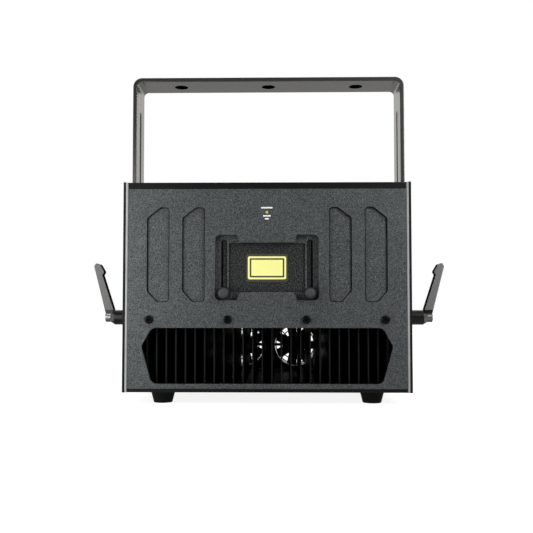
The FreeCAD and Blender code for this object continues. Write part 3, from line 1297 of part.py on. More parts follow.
def pivot_washers():
    """Friction washer between each side panel and the arm beside it."""
    washer = tube(WASHER_RADIUS, STUD_RADIUS + HOLE_CLEAR, V(BODY_HALF + RUN_GAP, PIVOT_Y, PIVOT_Z),
                  V(YOKE_INNER - RUN_GAP, PIVOT_Y, PIVOT_Z))
    return Part.makeCompound(pair(washer))


def on_pivot(reach):
    """Point on the right clamp's axis, measured outwards from the face of the yoke."""
    return V(YOKE_OUTER + reach, PIVOT_Y, PIVOT_Z)


def right_clamp_screw():
    """Threaded insert with its stud, and the slotted screw that keeps the handle on it."""
    stud = rod(STUD_RADIUS, V(INNER_HALF - STUD_GRIP + RUN_GAP, PIVOT_Y, PIVOT_Z), on_pivot(RUN_GAP))
    collar = rod(COLLAR_RADIUS, on_pivot(RUN_GAP), on_pivot(COLLAR_LENGTH))
    insert = joined(stud, collar, rod(INSERT_RADIUS, on_pivot(COLLAR_LENGTH), on_pivot(INSERT_END)))
    thread_end = INSERT_END - KEEPER_GRIP
    thread = rod(KEEPER_RADIUS + SHAFT_CLEAR, on_pivot(thread_end - RUN_GAP), on_pivot(INSERT_END))
    insert = cut(insert, thread)
    head_top = KEEPER_SEAT + KEEPER_HEAD
    keeper = joined(rod(KEEPER_RADIUS, on_pivot(thread_end), on_pivot(KEEPER_SEAT)),
                    rod(KEEPER_HEAD_RADIUS, on_pivot(KEEPER_SEAT), on_pivot(head_top)))
    outer = YOKE_OUTER + head_top
    slot = block(outer - KEEPER_SLOT_DEPTH, outer, PIVOT_Y - KEEPER_HEAD_RADIUS, PIVOT_Y + KEEPER_HEAD_RADIUS,
                 PIVOT_Z - KEEPER_SLOT / 2, PIVOT_Z + KEEPER_SLOT / 2)
    return Part.makeCompound([insert, cut(keeper, slot)])


def handle_arm():
    """Lever arm: it leans outwards, narrows to a neck and ends in a thumb rest."""
    lean = math.tan(math.radians(ARM_LEAN))
    root = YOKE_OUTER + ARM_ROOT_OUT + HUB_START
    neck = root + lean * ARM_NECK_RISE
    shoulder = neck + ARM_NECK + (ARM_SHOULDER_RISE - ARM_NECK_RISE) * lean
    outline = [
        (root, PIVOT_Z, 0),
        (neck, PIVOT_Z + ARM_NECK_RISE, ARM_ROUND),
        (neck - ARM_BUMP, PIVOT_Z + ARM_BUMP_RISE, ARM_ROUND),
        (shoulder - ARM_TIP_WIDTH - ARM_ROUND, PIVOT_Z + ARM_TIP_RISE - ARM_ROUND, ARM_ROUND),
        (shoulder - ARM_ROUND, PIVOT_Z + ARM_TIP_RISE, ARM_ROUND),
        (shoulder, PIVOT_Z + ARM_SHOULDER_RISE, ARM_ROUND),
        (root + ARM_ROOT, PIVOT_Z, 0),
    ]
    arm = upright_prism(outline, PIVOT_Y - ARM_WIDTH / 2, PIVOT_Y + ARM_WIDTH / 2)
    level_edges = [edge for edge in arm.Edges if edge.BoundBox.YLength < EDGE_BREAK]
    borders = [edge for edge in level_edges if edge.BoundBox.ZMax > PIVOT_Z + EDGE_BREAK]
    return arm.makeFillet(ARM_EDGE, borders)


def right_clamp_handle():
    """Clamp lever: its hub slides on the insert against the keeper screw."""
    hub = rod(HUB_RADIUS, on_pivot(HUB_START), on_pivot(HUB_END))
    taper = cone(HUB_RADIUS, BOSS_RADIUS, on_pivot(HUB_END), on_pivot(HUB_END + HUB_TAPER))
    boss = rod(BOSS_RADIUS, on_pivot(HUB_END + HUB_TAPER), on_pivot(BOSS_END))
    lever = joined(hub, taper, boss, handle_arm())
    insert_bore = rod(INSERT_RADIUS + SHAFT_CLEAR, on_pivot(0), on_pivot(INSERT_END + RUN_GAP))
    keeper_bore = rod(KEEPER_RADIUS + HOLE_CLEAR, on_pivot(0), on_pivot(BOSS_END))
    head_bore = rod(KEEPER_HEAD_RADIUS + HOLE_CLEAR, on_pivot(SHOULDER_OUT), on_pivot(BOSS_END))
    return cut(lever, insert_bore, keeper_bore, head_bore)


# The whole assembly, by node name

def sided(name, right_shape):
    """A right-hand piece and its mirror image, under their node names."""
    return {f"right_{name}": right_shape, f"left_{name}": mirrored(right_shape)}


def assembly():
    """All pieces of the projector."""
    makers = [
        front_panel, top_cover, base_plate, rear_panel, optical_bench, heat_sink, aperture_shutter,
        window_frame, window_seal, aperture_window, emission_lamp, scanner_mount, horizontal_galvo,
        vertical_galvo, horizontal_mirror, vertical_mirror, combiner_mirrors, power_supply,
        scanner_driver, control_board, mains_inlet, mains_rocker, key_switch, switch_key, signal_sockets,
        data_sockets, network_socket, safety_eye, yoke, pivot_washers,
    ]
    nodes = {maker.__name__: maker() for maker in makers}
    nodes["shutter_label"] = label_plate()
    nodes.update(screw_groups())
    for index, colour in enumerate(LASER_COLOURS):
        nodes[f"{colour}_laser_module"] = laser_module(index)
    for name, centre in foot_centres().items():
        nodes[name] = foot(centre)
    nodes.update(sided("side_panel", right_side_panel()))
    nodes.update(sided("top_rail", right_top_rail()))
    nodes.update(sided("fan_frame", right_fan_frame()))
    nodes.update(sided("fan_rotor", right_fan_rotor()))
    nodes.update(sided("fan_guard", right_fan_guard()))
    nodes.update(sided("shutter_knob", right_shutter_knob()))
    nodes.update(sided("clamp_screw", right_clamp_screw()))
    nodes.update(sided("clamp_handle", right_clamp_handle()))
    return nodes


os.makedirs("parts", exist_ok=True)
for node, shape in assembly().items():
    shape.exportStep(f"parts/{node}.step")
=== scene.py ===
import json
import math

import bmesh
import bpy
from mathutils import Matrix, Vector


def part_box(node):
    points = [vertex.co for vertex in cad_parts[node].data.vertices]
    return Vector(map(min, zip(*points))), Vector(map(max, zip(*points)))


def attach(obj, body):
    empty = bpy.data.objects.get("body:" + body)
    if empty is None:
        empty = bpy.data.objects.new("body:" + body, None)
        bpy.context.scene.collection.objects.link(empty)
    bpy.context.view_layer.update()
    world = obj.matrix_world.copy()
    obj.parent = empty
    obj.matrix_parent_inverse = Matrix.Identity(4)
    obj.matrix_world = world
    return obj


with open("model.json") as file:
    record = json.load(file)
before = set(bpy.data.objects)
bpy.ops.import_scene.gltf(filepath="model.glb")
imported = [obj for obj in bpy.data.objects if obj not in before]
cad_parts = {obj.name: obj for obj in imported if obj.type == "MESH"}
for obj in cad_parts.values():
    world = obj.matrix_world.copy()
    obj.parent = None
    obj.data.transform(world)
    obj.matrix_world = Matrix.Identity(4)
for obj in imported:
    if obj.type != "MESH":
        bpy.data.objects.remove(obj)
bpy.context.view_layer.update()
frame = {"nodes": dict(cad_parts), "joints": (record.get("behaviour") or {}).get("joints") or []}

bl_info = {
    "name": "Laser show projector dressing",
    "version": (1, 0, 0),
    "blender": (4, 5, 0),
    "location": "View3D > Sidebar > Projector",
    "description": "Finishes, small rear details and studio for the laser show projector",
    "category": "Object",
}

HOUSING = "projector"
MM = 0.001
RIGHT = Vector((1, 0, 0))
REARWARD = Vector((0, 1, 0))
UP = Vector((0, 0, 1))
NOISE_LOW = 0.3
NOISE_HIGH = 0.7
EVEN = (1.0, 1.0, 1.0)
SHARP_ANGLE = math.radians(35)

# Grain and gloss of the coats
COAT_CLOUD = 40
GLOSS_SPREAD = 0.05
SAND_CLOUD = 30
FINE_SHARE = 0.85
COARSE_GRAIN = 2.3
GRAIN_CONTRAST = 1.6
DARK_GRAIN = 0.35
FRONT_FLECK = 2.6
SHELL_FLECK = 3.4
SHUTTER_FLECK = 7.0
SAND_RELIEF = 0.16
SAND_SHINE = 0.3
SHELL_SHINE = 0.15
SHUTTER_SHINE = 0.12
LEVER_SHINE = 0.2
YOKE_ROUGHNESS = 0.27
BEVEL_FADE = 0.45
# Faces that face the front: the shell's painted shade and the bevel's bright strip lie only on them.
FRONT_EDGE = {"low": 1.0, "high": 0.0, "start": -0.6, "end": -0.4}

# Shares and counts of the small pieces
MARK_CORNER = 0.4
RING_BORE = 0.65
INSULATOR_CROWN = (0.98, 0.93)
UPPER_CONTACTS = 13
LOWER_CONTACTS = 12
CUP_BORE = 0.6
CUP_SIDES = 12
SLEEVE_COUNT = 3
SLEEVE_BORE = 0.7
SLEEVE_FLOOR = 0.02 * MM
WIRE_COUNT = 8
WIRE_SIDES = 12
# Bends of a contact wire: forward of the jack's face and above its middle, in millimetres
WIRE_BENDS = ((2.2, 4.2), (3.0, 3.7), (6.5, 1.6), (9.5, -0.4), (10.6, -1.6))

# Floor, room and lamps
LAMP_AIM = Vector((0.0, 0.0, 0.14))
FLOOR_HALF = 6.0
FLOOR_STEPS = 8
FLOOR_CLOUD = 0.3
FLOOR_ROUGHNESS = 0.9
GLOW_START = 0.3
GLOW_END = 0.8
ROOM_FRONT = -0.5
ROOM_REAR = 0.3


# Properties

def colour(name, description, default):
    """Colour property in linear light."""
    return bpy.props.FloatVectorProperty(
        name=name, description=description, default=default, size=3, min=0.0, max=1.0, subtype="COLOR")


def length(name, description, millimetres):
    """Length property, written in millimetres and kept in metres."""
    return bpy.props.FloatProperty(
        name=name, description=description, default=millimetres * MM, precision=5, subtype="DISTANCE")


def share(name, description, default):
    """Property between nothing and one."""
    return bpy.props.FloatProperty(
        name=name, description=description, default=default, min=0.0, max=1.0, subtype="FACTOR")


def location(name, description, default):
    """Location in the frame, in metres."""
    return bpy.props.FloatVectorProperty(
        name=name, description=description, default=default, size=3, subtype="TRANSLATION", unit="LENGTH")


def area(name, description, default):
    """Width and height of a lamp, in metres."""
    return bpy.props.FloatVectorProperty(
        name=name, description=description, default=default, size=2, unit="LENGTH")


def power(name, description, default):
    """Lamp power in watts."""
    return bpy.props.FloatProperty(
        name=name, description=description, default=default, min=0.0, subtype="POWER")


class ProjectorColours(bpy.types.PropertyGroup):
    """Colours of the finishes."""
    front: colour("Front panel", "Sand-textured coat of the front panel", (0.045, 0.051, 0.0515))
    shell: colour("Shell", "Sand-textured coat of the sides, lid, base and rear panel",
                  (0.010, 0.0112, 0.0113))
    # Painted shade, not a coat of its own: this near black darkens the shell's faces that face the front
    # and the walls of the front panel's pockets.
    edge: colour("Dark edges", "Coat on the front edges of the shell and on the walls of the pockets",
                 (0.0022, 0.0030, 0.0032))
    # Partly the bevel's bare metal, partly painted highlight: a bright matte colour in place of a metal's
    # glint.
    bevel: colour("Bevel", "Bare metal along the front edge of the side panels", (0.48, 0.49, 0.49))
    shutter: colour("Shutter", "Coat of the aperture's shutter", (0.0098, 0.0109, 0.0108))
    plate: colour("Plate", "Yellow of the blank plate on the shutter", (0.93, 0.92, 0.32))
    plate_line: colour("Plate line", "Dark line and margin of the blank plate", (0.040, 0.039, 0.024))
    knob: colour("Thumb screws", "Plastic of the shutter's thumb screws", (0.036, 0.042, 0.045))
    lamp: colour("Lamp", "Lens of the indicator lamp", (0.30, 0.33, 0.05))
    white: colour("White print", "Print of the plain marks", (0.74, 0.75, 0.74))
    screw: colour("Screws", "Blackened steel of the screws", (0.0025, 0.003, 0.0033))
    rubber: colour("Feet", "Rubber of the feet and gasket", (0.0018, 0.0028, 0.0031))
    sink: colour("Heat sink", "Black anodised fins and guide frame", (0.006, 0.0068, 0.0068))
    yoke: colour("Yoke", "Satin paint of the yoke", (0.023, 0.0224, 0.0200))
    # Painted shade, not a colour of the yoke: the near black on the walls of its holes.
    hole: colour("Yoke holes", "Dark walls of the holes in the yoke's top", (0.001, 0.001, 0.001))
    hub: colour("Lever hub", "Black hub of the clamp levers", (0.004, 0.004, 0.004))
    # Painted sheen: grey that stands in for the sheen on the lever arm's faces; it also colours the hub's
    # bright metal end.
    arm: colour("Lever arm", "Grey face of the clamp levers", (0.150, 0.153, 0.148))
    steel: colour("Steel", "Bright steel of studs and motors", (0.46, 0.46, 0.46))
    chrome: colour("Chrome", "Plating of the fan guards", (0.66, 0.66, 0.66))
    aluminium: colour("Aluminium", "Machined aluminium of the bench and mounts", (0.66, 0.67, 0.68))
    nickel: colour("Nickel", "Plating of the signal sockets and key switch", (0.62, 0.60, 0.56))
    gold: colour("Contacts", "Gold flash on the contacts of the sockets", (0.78, 0.58, 0.24))
    socket: colour("Sockets", "Black plastic of the sockets and fans", (0.012, 0.012, 0.013))
    insulator: colour("Insulators", "Plastic round the signal contacts", (0.015, 0.045, 0.16))
    laser: colour("Laser modules", "Grey blocks of the laser modules", (0.42, 0.43, 0.45))
    mirror: colour("Mirrors", "Coating of the mirrors", (0.88, 0.89, 0.90))
    glass: colour("Window", "Glass of the aperture's window", (0.93, 0.96, 0.96))
    board: colour("Boards", "Solder mask of the circuit boards", (0.012, 0.115, 0.045))


class ProjectorSizes(bpy.types.PropertyGroup):
    """Sizes of the finishes and of the small pieces that are added to the frame."""
    grain: length("Coat grain", "Grain of the front panel's coat", 0.8)
    shell_grain: length("Shell grain", "Grain of the shell's coat", 0.9)
    shutter_grain: length("Shutter grain", "Grain of the shutter's coat", 1.3)
    bevel_land: length("Bevel land", "Coated edge outside the bare bevel", 2.8)
    bevel_strip: length("Bevel strip", "Width of the bare bevel, which fades into the coat", 2.3)
    mark_height: length("Mark height", "Height of the white marks by the lamp", 1.6)
    mark_thick: length("Mark thickness", "Thickness of the white print", 0.06)
    upper_mark: length("Upper mark", "Width of the mark above the lamp", 12.8)
    upper_rise: length("Upper mark rise", "Upper mark above the lamp", 5.1)
    lower_mark: length("Lower mark", "Width of the mark below the lamp", 8.7)
    lower_drop: length("Lower mark drop", "Lower mark below the lamp", 4.0)
    last_mark: length("Last mark", "Width of the lowest mark", 4.5)
    last_drop: length("Last mark drop", "Lowest mark below the lamp", 7.3)
    plate_width: length("Plate field width", "Width of the yellow field on the blank plate", 43.0)
    plate_height: length("Plate field height", "Height of the yellow field on the blank plate", 25.8)
    plate_inset: length("Plate line inset", "Plain line from the edge of the yellow field", 2.1)
    plate_line: length("Plate line", "Width of the plain line on the blank plate", 1.8)
    hub_radius: length("Hub radius", "Radius of the clamp lever's hub", 9.2)
    boss_start: length("Boss start", "Bright end of the lever's hub from the yoke's face", 25.0)
    boss_radius: length("Boss radius", "Radius of the bright end of the lever's hub", 4.4)
    yoke_hole: length("Yoke hole reach", "Reach of the yoke's holes from the middle of its bar", 12.0)
    yoke_top: length("Yoke top depth", "Depth of the yoke's top that holds the holes", 6.0)
    plug_depth: length("Plug depth", "Depth of the mains plug's well", 18.0)
    plug_drop: length("Plug drop", "Plug well below the middle of the mains module", 13.0)
    pin_length: length("Pin length", "Length of the mains pins", 11.3)
    pin_width: length("Pin width", "Width of the mains pins with their plating", 2.5)
    pin_height: length("Pin height", "Height of the mains pins with their plating", 5.3)
    pin_spread: length("Pin spread", "Outer mains pins from the middle one", 7.0)
    pin_rise: length("Pin rise", "Mains pins above or below the middle of the well", 1.4)
    rocker_rise: length("Rocker rise", "Rocker's pivot above the middle of the mains module", 17.0)
    rocker_pivot: length("Rocker pivot", "Rocker's pivot behind the face of the mains module", 3.0)
    rocker_proud: length("Rocker proud", "Ends of the rocker in front of the mains module", 2.4)
    rocker_dip: length("Rocker dip", "Depth of the rocker's dished face", 2.2)
    rocker_half: length("Rocker half", "Half the length of the rocker", 6.5)
    rocker_mark: length("Rocker mark", "Height of the marks on the rocker", 3.4)
    contact_pitch: length("Contact pitch", "Pitch of the signal contacts", 2.77)
    contact_row: length("Contact row", "Distance between the two rows of signal contacts", 2.84)
    contact_radius: length("Contact radius", "Radius of a signal contact", 0.72)
    signal_flange: length("Signal flange", "Width of a signal socket's flange", 53.0)
    insulator_width: length("Insulator width", "Width of the insulator in a signal socket", 37.0)
    insulator_height: length("Insulator height", "Height of the insulator in a signal socket", 6.0)
    insulator_slope: length("Insulator slope", "Narrowing of the insulator from its top to its foot", 0.6)
    insulator_proud: length("Insulator proud", "Crown of the insulator in front of the signal socket", 0.4)
    insulator_wall: length("Insulator wall", "Straight wall of the insulator below its crown", 0.25)
    contact_proud: length("Contact proud", "Signal contact in front of its insulator", 0.2)
    sleeve_proud: length("Sleeve proud", "Contact sleeve in front of its data socket", 0.12)
    sleeve_radius: length("Sleeve radius", "Radius of a data socket's contact sleeve", 1.34)
    sleeve_circle: length("Sleeve circle", "Contact sleeves from the middle of a data socket", 5.0)
    sleeve_length: length("Sleeve length", "Length of a data socket's contact sleeve", 8.0)
    wire_radius: length("Wire radius", "Radius of the network jack's contact wires", 0.28)
    wire_pitch: length("Wire pitch", "Pitch of the network jack's contact wires", 1.02)


class ProjectorStudio(bpy.types.PropertyGroup):
    """Light and camera."""
    left_place: location("Left lamp place", "Middle of the lamp at the front left", (-0.32, -0.31, 0.10))
    left_size: area("Left lamp size", "Size of the lamp at the front left", (0.24, 0.5))
    left_power: power("Left lamp", "Soft lamp at the front left", 1.95)
    right_place: location("Right lamp place", "Middle of the lamp at the front right", (0.48, -0.46, 0.42))
    right_size: area("Right lamp size", "Size of the lamp at the front right", (0.1, 0.5))
    right_power: power("Right lamp", "Soft lamp at the front right", 3.7)
    top_place: location("Top lamp place", "Middle of the lamp overhead", (0.0, -0.24, 0.9))
    top_size: area("Top lamp size", "Size of the lamp overhead", (0.5, 0.2))
    top_power: power("Top lamp", "Soft lamp overhead", 2.0)
    rear_place: location("Rear lamp place", "Middle of the right one of the rear lamps", (1.2, 1.3, 0.8))
    rear_size: area("Rear lamp size", "Size of each rear lamp", (1.6, 1.6))
    rear_power: power("Rear lamps", "Soft lamps behind the projector", 12.0)
    ambient: share("Ambient", "Level of the light from all round", 0.14)
    front_gloss: share("Front gloss", "Level that gloss shows of the room in front", 0.08)
    gloss_tone: colour("Gloss tone", "Tone that gloss shows of the floor and surround", (1.0, 0.985, 0.93))
    floor: share("Floor", "Reflectance of the floor", 0.35)
    floor_gloss: share("Floor gloss", "Level that gloss shows of the floor", 0.44)
    floor_glow: share("Floor glow", "White of the floor near the projector, apart from the light on it",
                      0.88)
    lens: bpy.props.FloatProperty(
        name="Lens", description="Focal length on a 36 mm sensor", default=49.07, min=10.0, unit="CAMERA")
    camera_place: location("Camera", "Place of the camera", (0.01422, -0.9333, 0.1157))
    camera_turn: bpy.props.FloatVectorProperty(
        name="Camera turn", description="Pitch above level, roll and turn to the left",
        default=(math.radians(2.65), 0.0, math.radians(1.042)), size=3, subtype="EULER", unit="ROTATION")


# Mesh tools

def ring(centre, across, up, outline):
    """Points of a flat outline about a centre, in the plane of two directions."""
    return [centre + across * u + up * v for u, v in outline]


def rear_ring(centre, outline):
    """Points of an outline in the plane of the rear panel."""
    return ring(centre, RIGHT, UP, outline)


def rounded_outline(width, height, radius, steps=5):
    """Closed outline of a rectangle with rounded corners."""
    points = []
    for turn, (side, end) in enumerate(((1, 1), (-1, 1), (-1, -1), (1, -1))):
        for step in range(steps + 1):
            angle = math.pi / 2 * (turn + step / steps)
            points.append((side * (width / 2 - radius) + radius * math.cos(angle),
                           end * (height / 2 - radius) + radius * math.sin(angle)))
    return points


def round_outline(radius, sides=20):
    """Closed outline of a circle."""
    angles = [math.tau * index / sides for index in range(sides)]
    return [(radius * math.cos(angle), radius * math.sin(angle)) for angle in angles]


def loft(mesh, rings, closed=True):
    """Skin through rings with as many points each, capped at both ends when closed."""
    rows = [[mesh.verts.new(point) for point in points] for points in rings]
    count = len(rows[0])
    for lower, upper in zip(rows, rows[1:]):
        for index in range(count):
            following = (index + 1) % count
            mesh.faces.new((lower[index], lower[following], upper[following], upper[index]))
    if closed:
        mesh.faces.new(list(reversed(rows[0])))
        mesh.faces.new(rows[-1])


def loft_sleeve(mesh, spot, radius, bore, top, bottom, sides=16):
    """Round sleeve that stands rearward of a spot, open at its mouth and closed at its foot."""
    rim = round_outline(radius, sides)
    hole = round_outline(bore, sides)
    loft(mesh, [rear_ring(spot + REARWARD * bottom, rim), rear_ring(spot + REARWARD * top, rim),
                rear_ring(spot + REARWARD * top, hole),
                rear_ring(spot + REARWARD * (bottom + SLEEVE_FLOOR), hole)])


def add_object(name, mesh, finish):
    """Object in the scene from a bmesh, with its finish."""
    data = bpy.data.meshes.new(name)
    mesh.to_mesh(data)
    mesh.free()
    data.materials.append(finish.material)
    made = bpy.data.objects.new(name, data)
    bpy.context.scene.collection.objects.link(made)
    return made


def add_piece(name, mesh, finish, body=HOUSING):
    """Piece from a bmesh, with its finish and the body that it rides on."""
    bmesh.ops.recalc_face_normals(mesh, faces=mesh.faces[:])
    piece = add_object(name, mesh, finish)
    piece.data.shade_smooth()
    piece.data.set_sharp_from_angle(angle=SHARP_ANGLE)
    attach(piece, body)


def paint(finish, *nodes):
    """Gives nodes of the frame a finish."""
    for name in nodes:
        node = frame["nodes"][name]
        if not node.material_slots:
            raise RuntimeError(f"{name} has no place for a finish")
        for material_slot in node.material_slots:
            material_slot.material = finish.material


def middle(node):
    """Middle of a node's box."""
    low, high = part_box(node)
    return (Vector(low) + Vector(high)) / 2


# Finishes

class ShaderTree:
    """Shader tree with short ways to add its nodes."""

    def __init__(self, tree):
        self.tree = tree

    def node(self, kind, inputs=(), **settings):
        """Adds a node with its settings and its inputs, linked or set."""
        made = self.tree.nodes.new("ShaderNode" + kind)
        for key, value in settings.items():
            setattr(made, key, value)
        for key, value in inputs.items() if isinstance(inputs, dict) else enumerate(inputs):
            self.feed(made.inputs[key], value)
        return made

    def feed(self, socket, value):
        """Links a socket, or sets its value."""
        if isinstance(value, bpy.types.NodeSocket):
            self.tree.links.new(value, socket)
        elif socket.type == "RGBA" and len(value) == 3:
            socket.default_value = (*value, 1.0)
        else:
            socket.default_value = value

    def math(self, operation, *values):
        """Result of a sum on numbers."""
        return self.node("Math", values, operation=operation).outputs[0]

    def between(self, value, low, high, start=0.0, end=1.0):
        """A value moved from one range to another."""
        return self.node("MapRange", (value, start, end, low, high)).outputs[0]

    def mixed(self, factor, first, second):
        """Two colours mixed by a factor."""
        made = self.node("Mix", data_type="RGBA")
        sockets = {socket.identifier: socket for socket in (*made.inputs, *made.outputs)}
        self.feed(sockets["Factor_Float"], factor)
        self.feed(sockets["A_Color"], first)
        self.feed(sockets["B_Color"], second)
        return sockets["Result_Color"]

    def parts(self, vector):
        """The three parts of a vector."""
        return self.node("SeparateXYZ", (vector,)).outputs


class Finish(ShaderTree):
    """Shader tree of one surface finish."""

    def __init__(self, name):
        self.material = bpy.data.materials.new(name)
        self.material.use_nodes = True
        super().__init__(self.material.node_tree)
        self.tree.nodes.clear()
        self.surface = self.node("BsdfPrincipled")
        self.node("OutputMaterial", {"Surface": self.surface.outputs["BSDF"]})
        places = self.node("TexCoord")
        self.place = places.outputs["Object"]
        self.facing = places.outputs["Normal"]
        self.tone = None

    def set(self, **inputs):
        """Feeds sockets of the surface; underscores stand for spaces in their names."""
        for key, value in inputs.items():
            self.feed(self.surface.inputs[key.replace("_", " ")], value)
        return self

    def varied(self, noise, low, high):
        """A noise moved to a range."""
        return self.between(noise, low, high, NOISE_LOW, NOISE_HIGH)

    def grain(self, size, stretch=EVEN):
        """Noise with a grain of a given size, drawn out along the axes with a small stretch."""
        moved = self.node("Mapping", {"Vector": self.place, "Scale": stretch}).outputs[0]
        return self.node("TexNoise", {"Vector": moved, "Scale": 1.0 / size, "Detail": 2.0}).outputs[0]

    def shaded(self, tone, factor):
        """A colour made lighter and darker by a factor."""
        return self.node("VectorMath", {"Vector": tone, "Scale": factor}, operation="SCALE").outputs[0]

    def bump(self, height, depth):
        """Normal of a surface with a relief."""
        return self.node("Bump", {"Height": height, "Strength": 1.0, "Distance": depth}).outputs[0]

    def forward(self, low, high, start, end):
        """A value by how far the surface faces to the front, which is at minus one."""
        return self.between(self.parts(self.facing)[1], low, high, start, end)


def coat(name, tone, roughness, grain, spread=0.2, depth=0.04 * MM, metallic=0.0, stretch=EVEN, shine=0.5):
    """Coat or metal with a fine grain, slow clouding and a varying gloss."""
    finish = Finish(name)
    fine = finish.grain(grain, stretch)
    cloud = finish.grain(grain * COAT_CLOUD, stretch)
    tint = finish.math("MULTIPLY", finish.varied(fine, 1 - spread, 1 + spread),
                       finish.varied(cloud, low=0.94, high=1.06))
    finish.tone = finish.shaded(tone, tint)
    finish.set(Base_Color=finish.tone, Metallic=metallic, Specular_IOR_Level=shine,
               Roughness=finish.varied(cloud, roughness - GLOSS_SPREAD, roughness + GLOSS_SPREAD),
               Normal=finish.bump(fine, depth))
    return finish


def sand_coat(name, tone, grain, fleck):
    """Sand-textured powder coat: dark and light grains in a rough relief."""
    finish = Finish(name)
    fine = finish.math("MULTIPLY", finish.grain(grain), FINE_SHARE)
    coarse = finish.math("MULTIPLY", finish.grain(grain * COARSE_GRAIN), 1 - FINE_SHARE)
    sand = finish.math("ADD", fine, coarse)
    grains = finish.between(sand, low=0.0, high=1.0, start=0.36, end=0.66)
    grains = finish.math("POWER", grains, GRAIN_CONTRAST)
    cloud = finish.varied(finish.grain(grain * SAND_CLOUD), low=0.93, high=1.07)
    tint = finish.math("MULTIPLY", finish.between(grains, low=DARK_GRAIN, high=fleck), cloud)
    finish.tone = finish.shaded(tone, tint)
    finish.set(Base_Color=finish.tone, Specular_IOR_Level=SAND_SHINE,
               Roughness=finish.between(sand, low=0.62, high=0.42, start=0.38, end=0.62),
               Normal=finish.bump(sand, grain * SAND_RELIEF))
    return finish


def front_coat(name, colours, sizes):
    """Sand-textured coat of the front panel, with painted shade on the walls of its pockets."""
    finish = sand_coat(name, colours.front, sizes.grain, FRONT_FLECK)
    # Painted shade: faces that turn away from the front, such as the walls of pockets, recesses and slots,
    # are painted near black.
    walls = finish.forward(low=0.0, high=1.0, start=-0.6, end=-0.3)
    return finish.set(Base_Color=finish.mixed(walls, finish.tone, colours.edge))


def shell_coat(name, colours, sizes):
    """Sand-textured coat of the shell, with painted shade on its faces that face the front."""
    finish = sand_coat(name, colours.shell, sizes.shell_grain, SHELL_FLECK)
    # Painted shade: faces that face the front take the near-black colour in place of the sand tone.
    finish.tone = finish.mixed(finish.forward(**FRONT_EDGE), finish.tone, colours.edge)
    return finish.set(Base_Color=finish.tone, Specular_IOR_Level=SHELL_SHINE)


def bevelled_coat(name, colours, sizes):
    """Shell coat with a strip of bare metal on the front bevel, partly painted highlight: the strip is
    bright and matte.
    """
    finish = shell_coat(name, colours, sizes)
    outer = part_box("right_side_panel")[1][0] - sizes.bevel_land
    across = finish.math("ABSOLUTE", finish.parts(finish.place)[0])
    soft = 0.15 * MM
    below = finish.between(across, low=1.0, high=0.0, start=outer - soft, end=outer + soft)
    above = finish.between(across, low=0.2, high=1.0, start=outer - sizes.bevel_strip,
                           end=outer - sizes.bevel_strip * BEVEL_FADE)
    # Partly bare metal, partly painted highlight: the strip is bright and matte, and fades inward into the
    # coat.
    bared_and_highlit = finish.math("MULTIPLY", finish.math("MULTIPLY", below, above), finish.forward(**FRONT_EDGE))
    lines = finish.grain(size=0.6 * MM, stretch=(1.0, 1.0, 0.03))
    metal = finish.shaded(colours.bevel, finish.varied(lines, low=0.85, high=1.1))
    return finish.set(Base_Color=finish.mixed(bared_and_highlit, finish.tone, metal))


def plain_plate(name, colours, centre, sizes):
    """Blank plate: a yellow field with one plain line, on a dark margin."""
    finish = Finish(name)
    x, _, z = finish.parts(finish.place)
    across = finish.math("ABSOLUTE", finish.math("SUBTRACT", x, centre.x))
    upward = finish.math("ABSOLUTE", finish.math("SUBTRACT", z, centre.z))
    soft = 0.1 * MM

    def inside(inset, radius):
        """One within a rounded field, nothing outside it."""
        u = finish.math("SUBTRACT", across, sizes.plate_width / 2 - inset - radius)
        v = finish.math("SUBTRACT", upward, sizes.plate_height / 2 - inset - radius)
        u = finish.math("MAXIMUM", u, 0.0)
        v = finish.math("MAXIMUM", v, 0.0)
        squares = finish.math("ADD", finish.math("POWER", u, 2.0), finish.math("POWER", v, 2.0))
        return finish.between(finish.math("SQRT", squares), low=1.0, high=0.0, start=radius - soft,
                              end=radius + soft)

    field = inside(inset=0.0, radius=2.0 * MM)
    line = finish.math("SUBTRACT", inside(sizes.plate_inset, radius=1.0 * MM),
                       inside(sizes.plate_inset + sizes.plate_line, radius=0.5 * MM))
    printed = finish.math("SUBTRACT", field, line)
    fine = finish.grain(size=0.8 * MM)
    dark = finish.shaded(colours.plate_line, finish.varied(fine, low=0.85, high=1.15))
    yellow = finish.shaded(colours.plate, finish.varied(fine, low=0.97, high=1.02))
    return finish.set(Base_Color=finish.mixed(printed, dark, yellow),
                      Roughness=finish.between(printed, low=0.5, high=0.4),
                      Normal=finish.bump(printed, depth=0.04 * MM))


def knob_plastic(name, tone):
    """Plastic of the thumb screws, with painted light and shade: lighter on the crown than on the flank."""
    finish = coat(name, tone, roughness=0.6, grain=0.5 * MM, spread=0.12, depth=0.02 * MM, shine=0.25)
    # Painted light and shade: the tone is raised where the dome faces the front and lowered on its flank.
    crown = finish.forward(low=1.25, high=0.15, start=-0.96, end=-0.5)
    return finish.set(Base_Color=finish.shaded(finish.tone, crown))


def yoke_paint(name, colours, sizes):
    """Satin paint with an orange-peel skin, with painted shade inside the holes of the yoke's top."""
    finish = coat(name, colours.yoke, YOKE_ROUGHNESS, grain=1.6 * MM, spread=0.08, depth=0.01 * MM,
                  shine=0.72)
    _, y, z = finish.parts(finish.place)
    level = finish.math("ABSOLUTE", finish.parts(finish.facing)[2])
    upright = finish.between(level, low=1.0, high=0.0, start=0.4, end=0.6)
    aside = finish.math("ABSOLUTE", finish.math("SUBTRACT", y, middle("yoke").y))
    within = finish.math("LESS_THAN", aside, sizes.yoke_hole)
    above = finish.math("GREATER_THAN", z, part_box("yoke")[1][2] - sizes.yoke_top)
    # Painted shade: the walls of the holes are painted near black and made rough metal, so they show no
    # light or reflection.
    inside = finish.math("MULTIPLY", upright, finish.math("MULTIPLY", within, above))
    return finish.set(Base_Color=finish.mixed(inside, finish.tone, colours.hole), Metallic=inside,
                      Roughness=finish.between(inside, low=YOKE_ROUGHNESS, high=1.0))


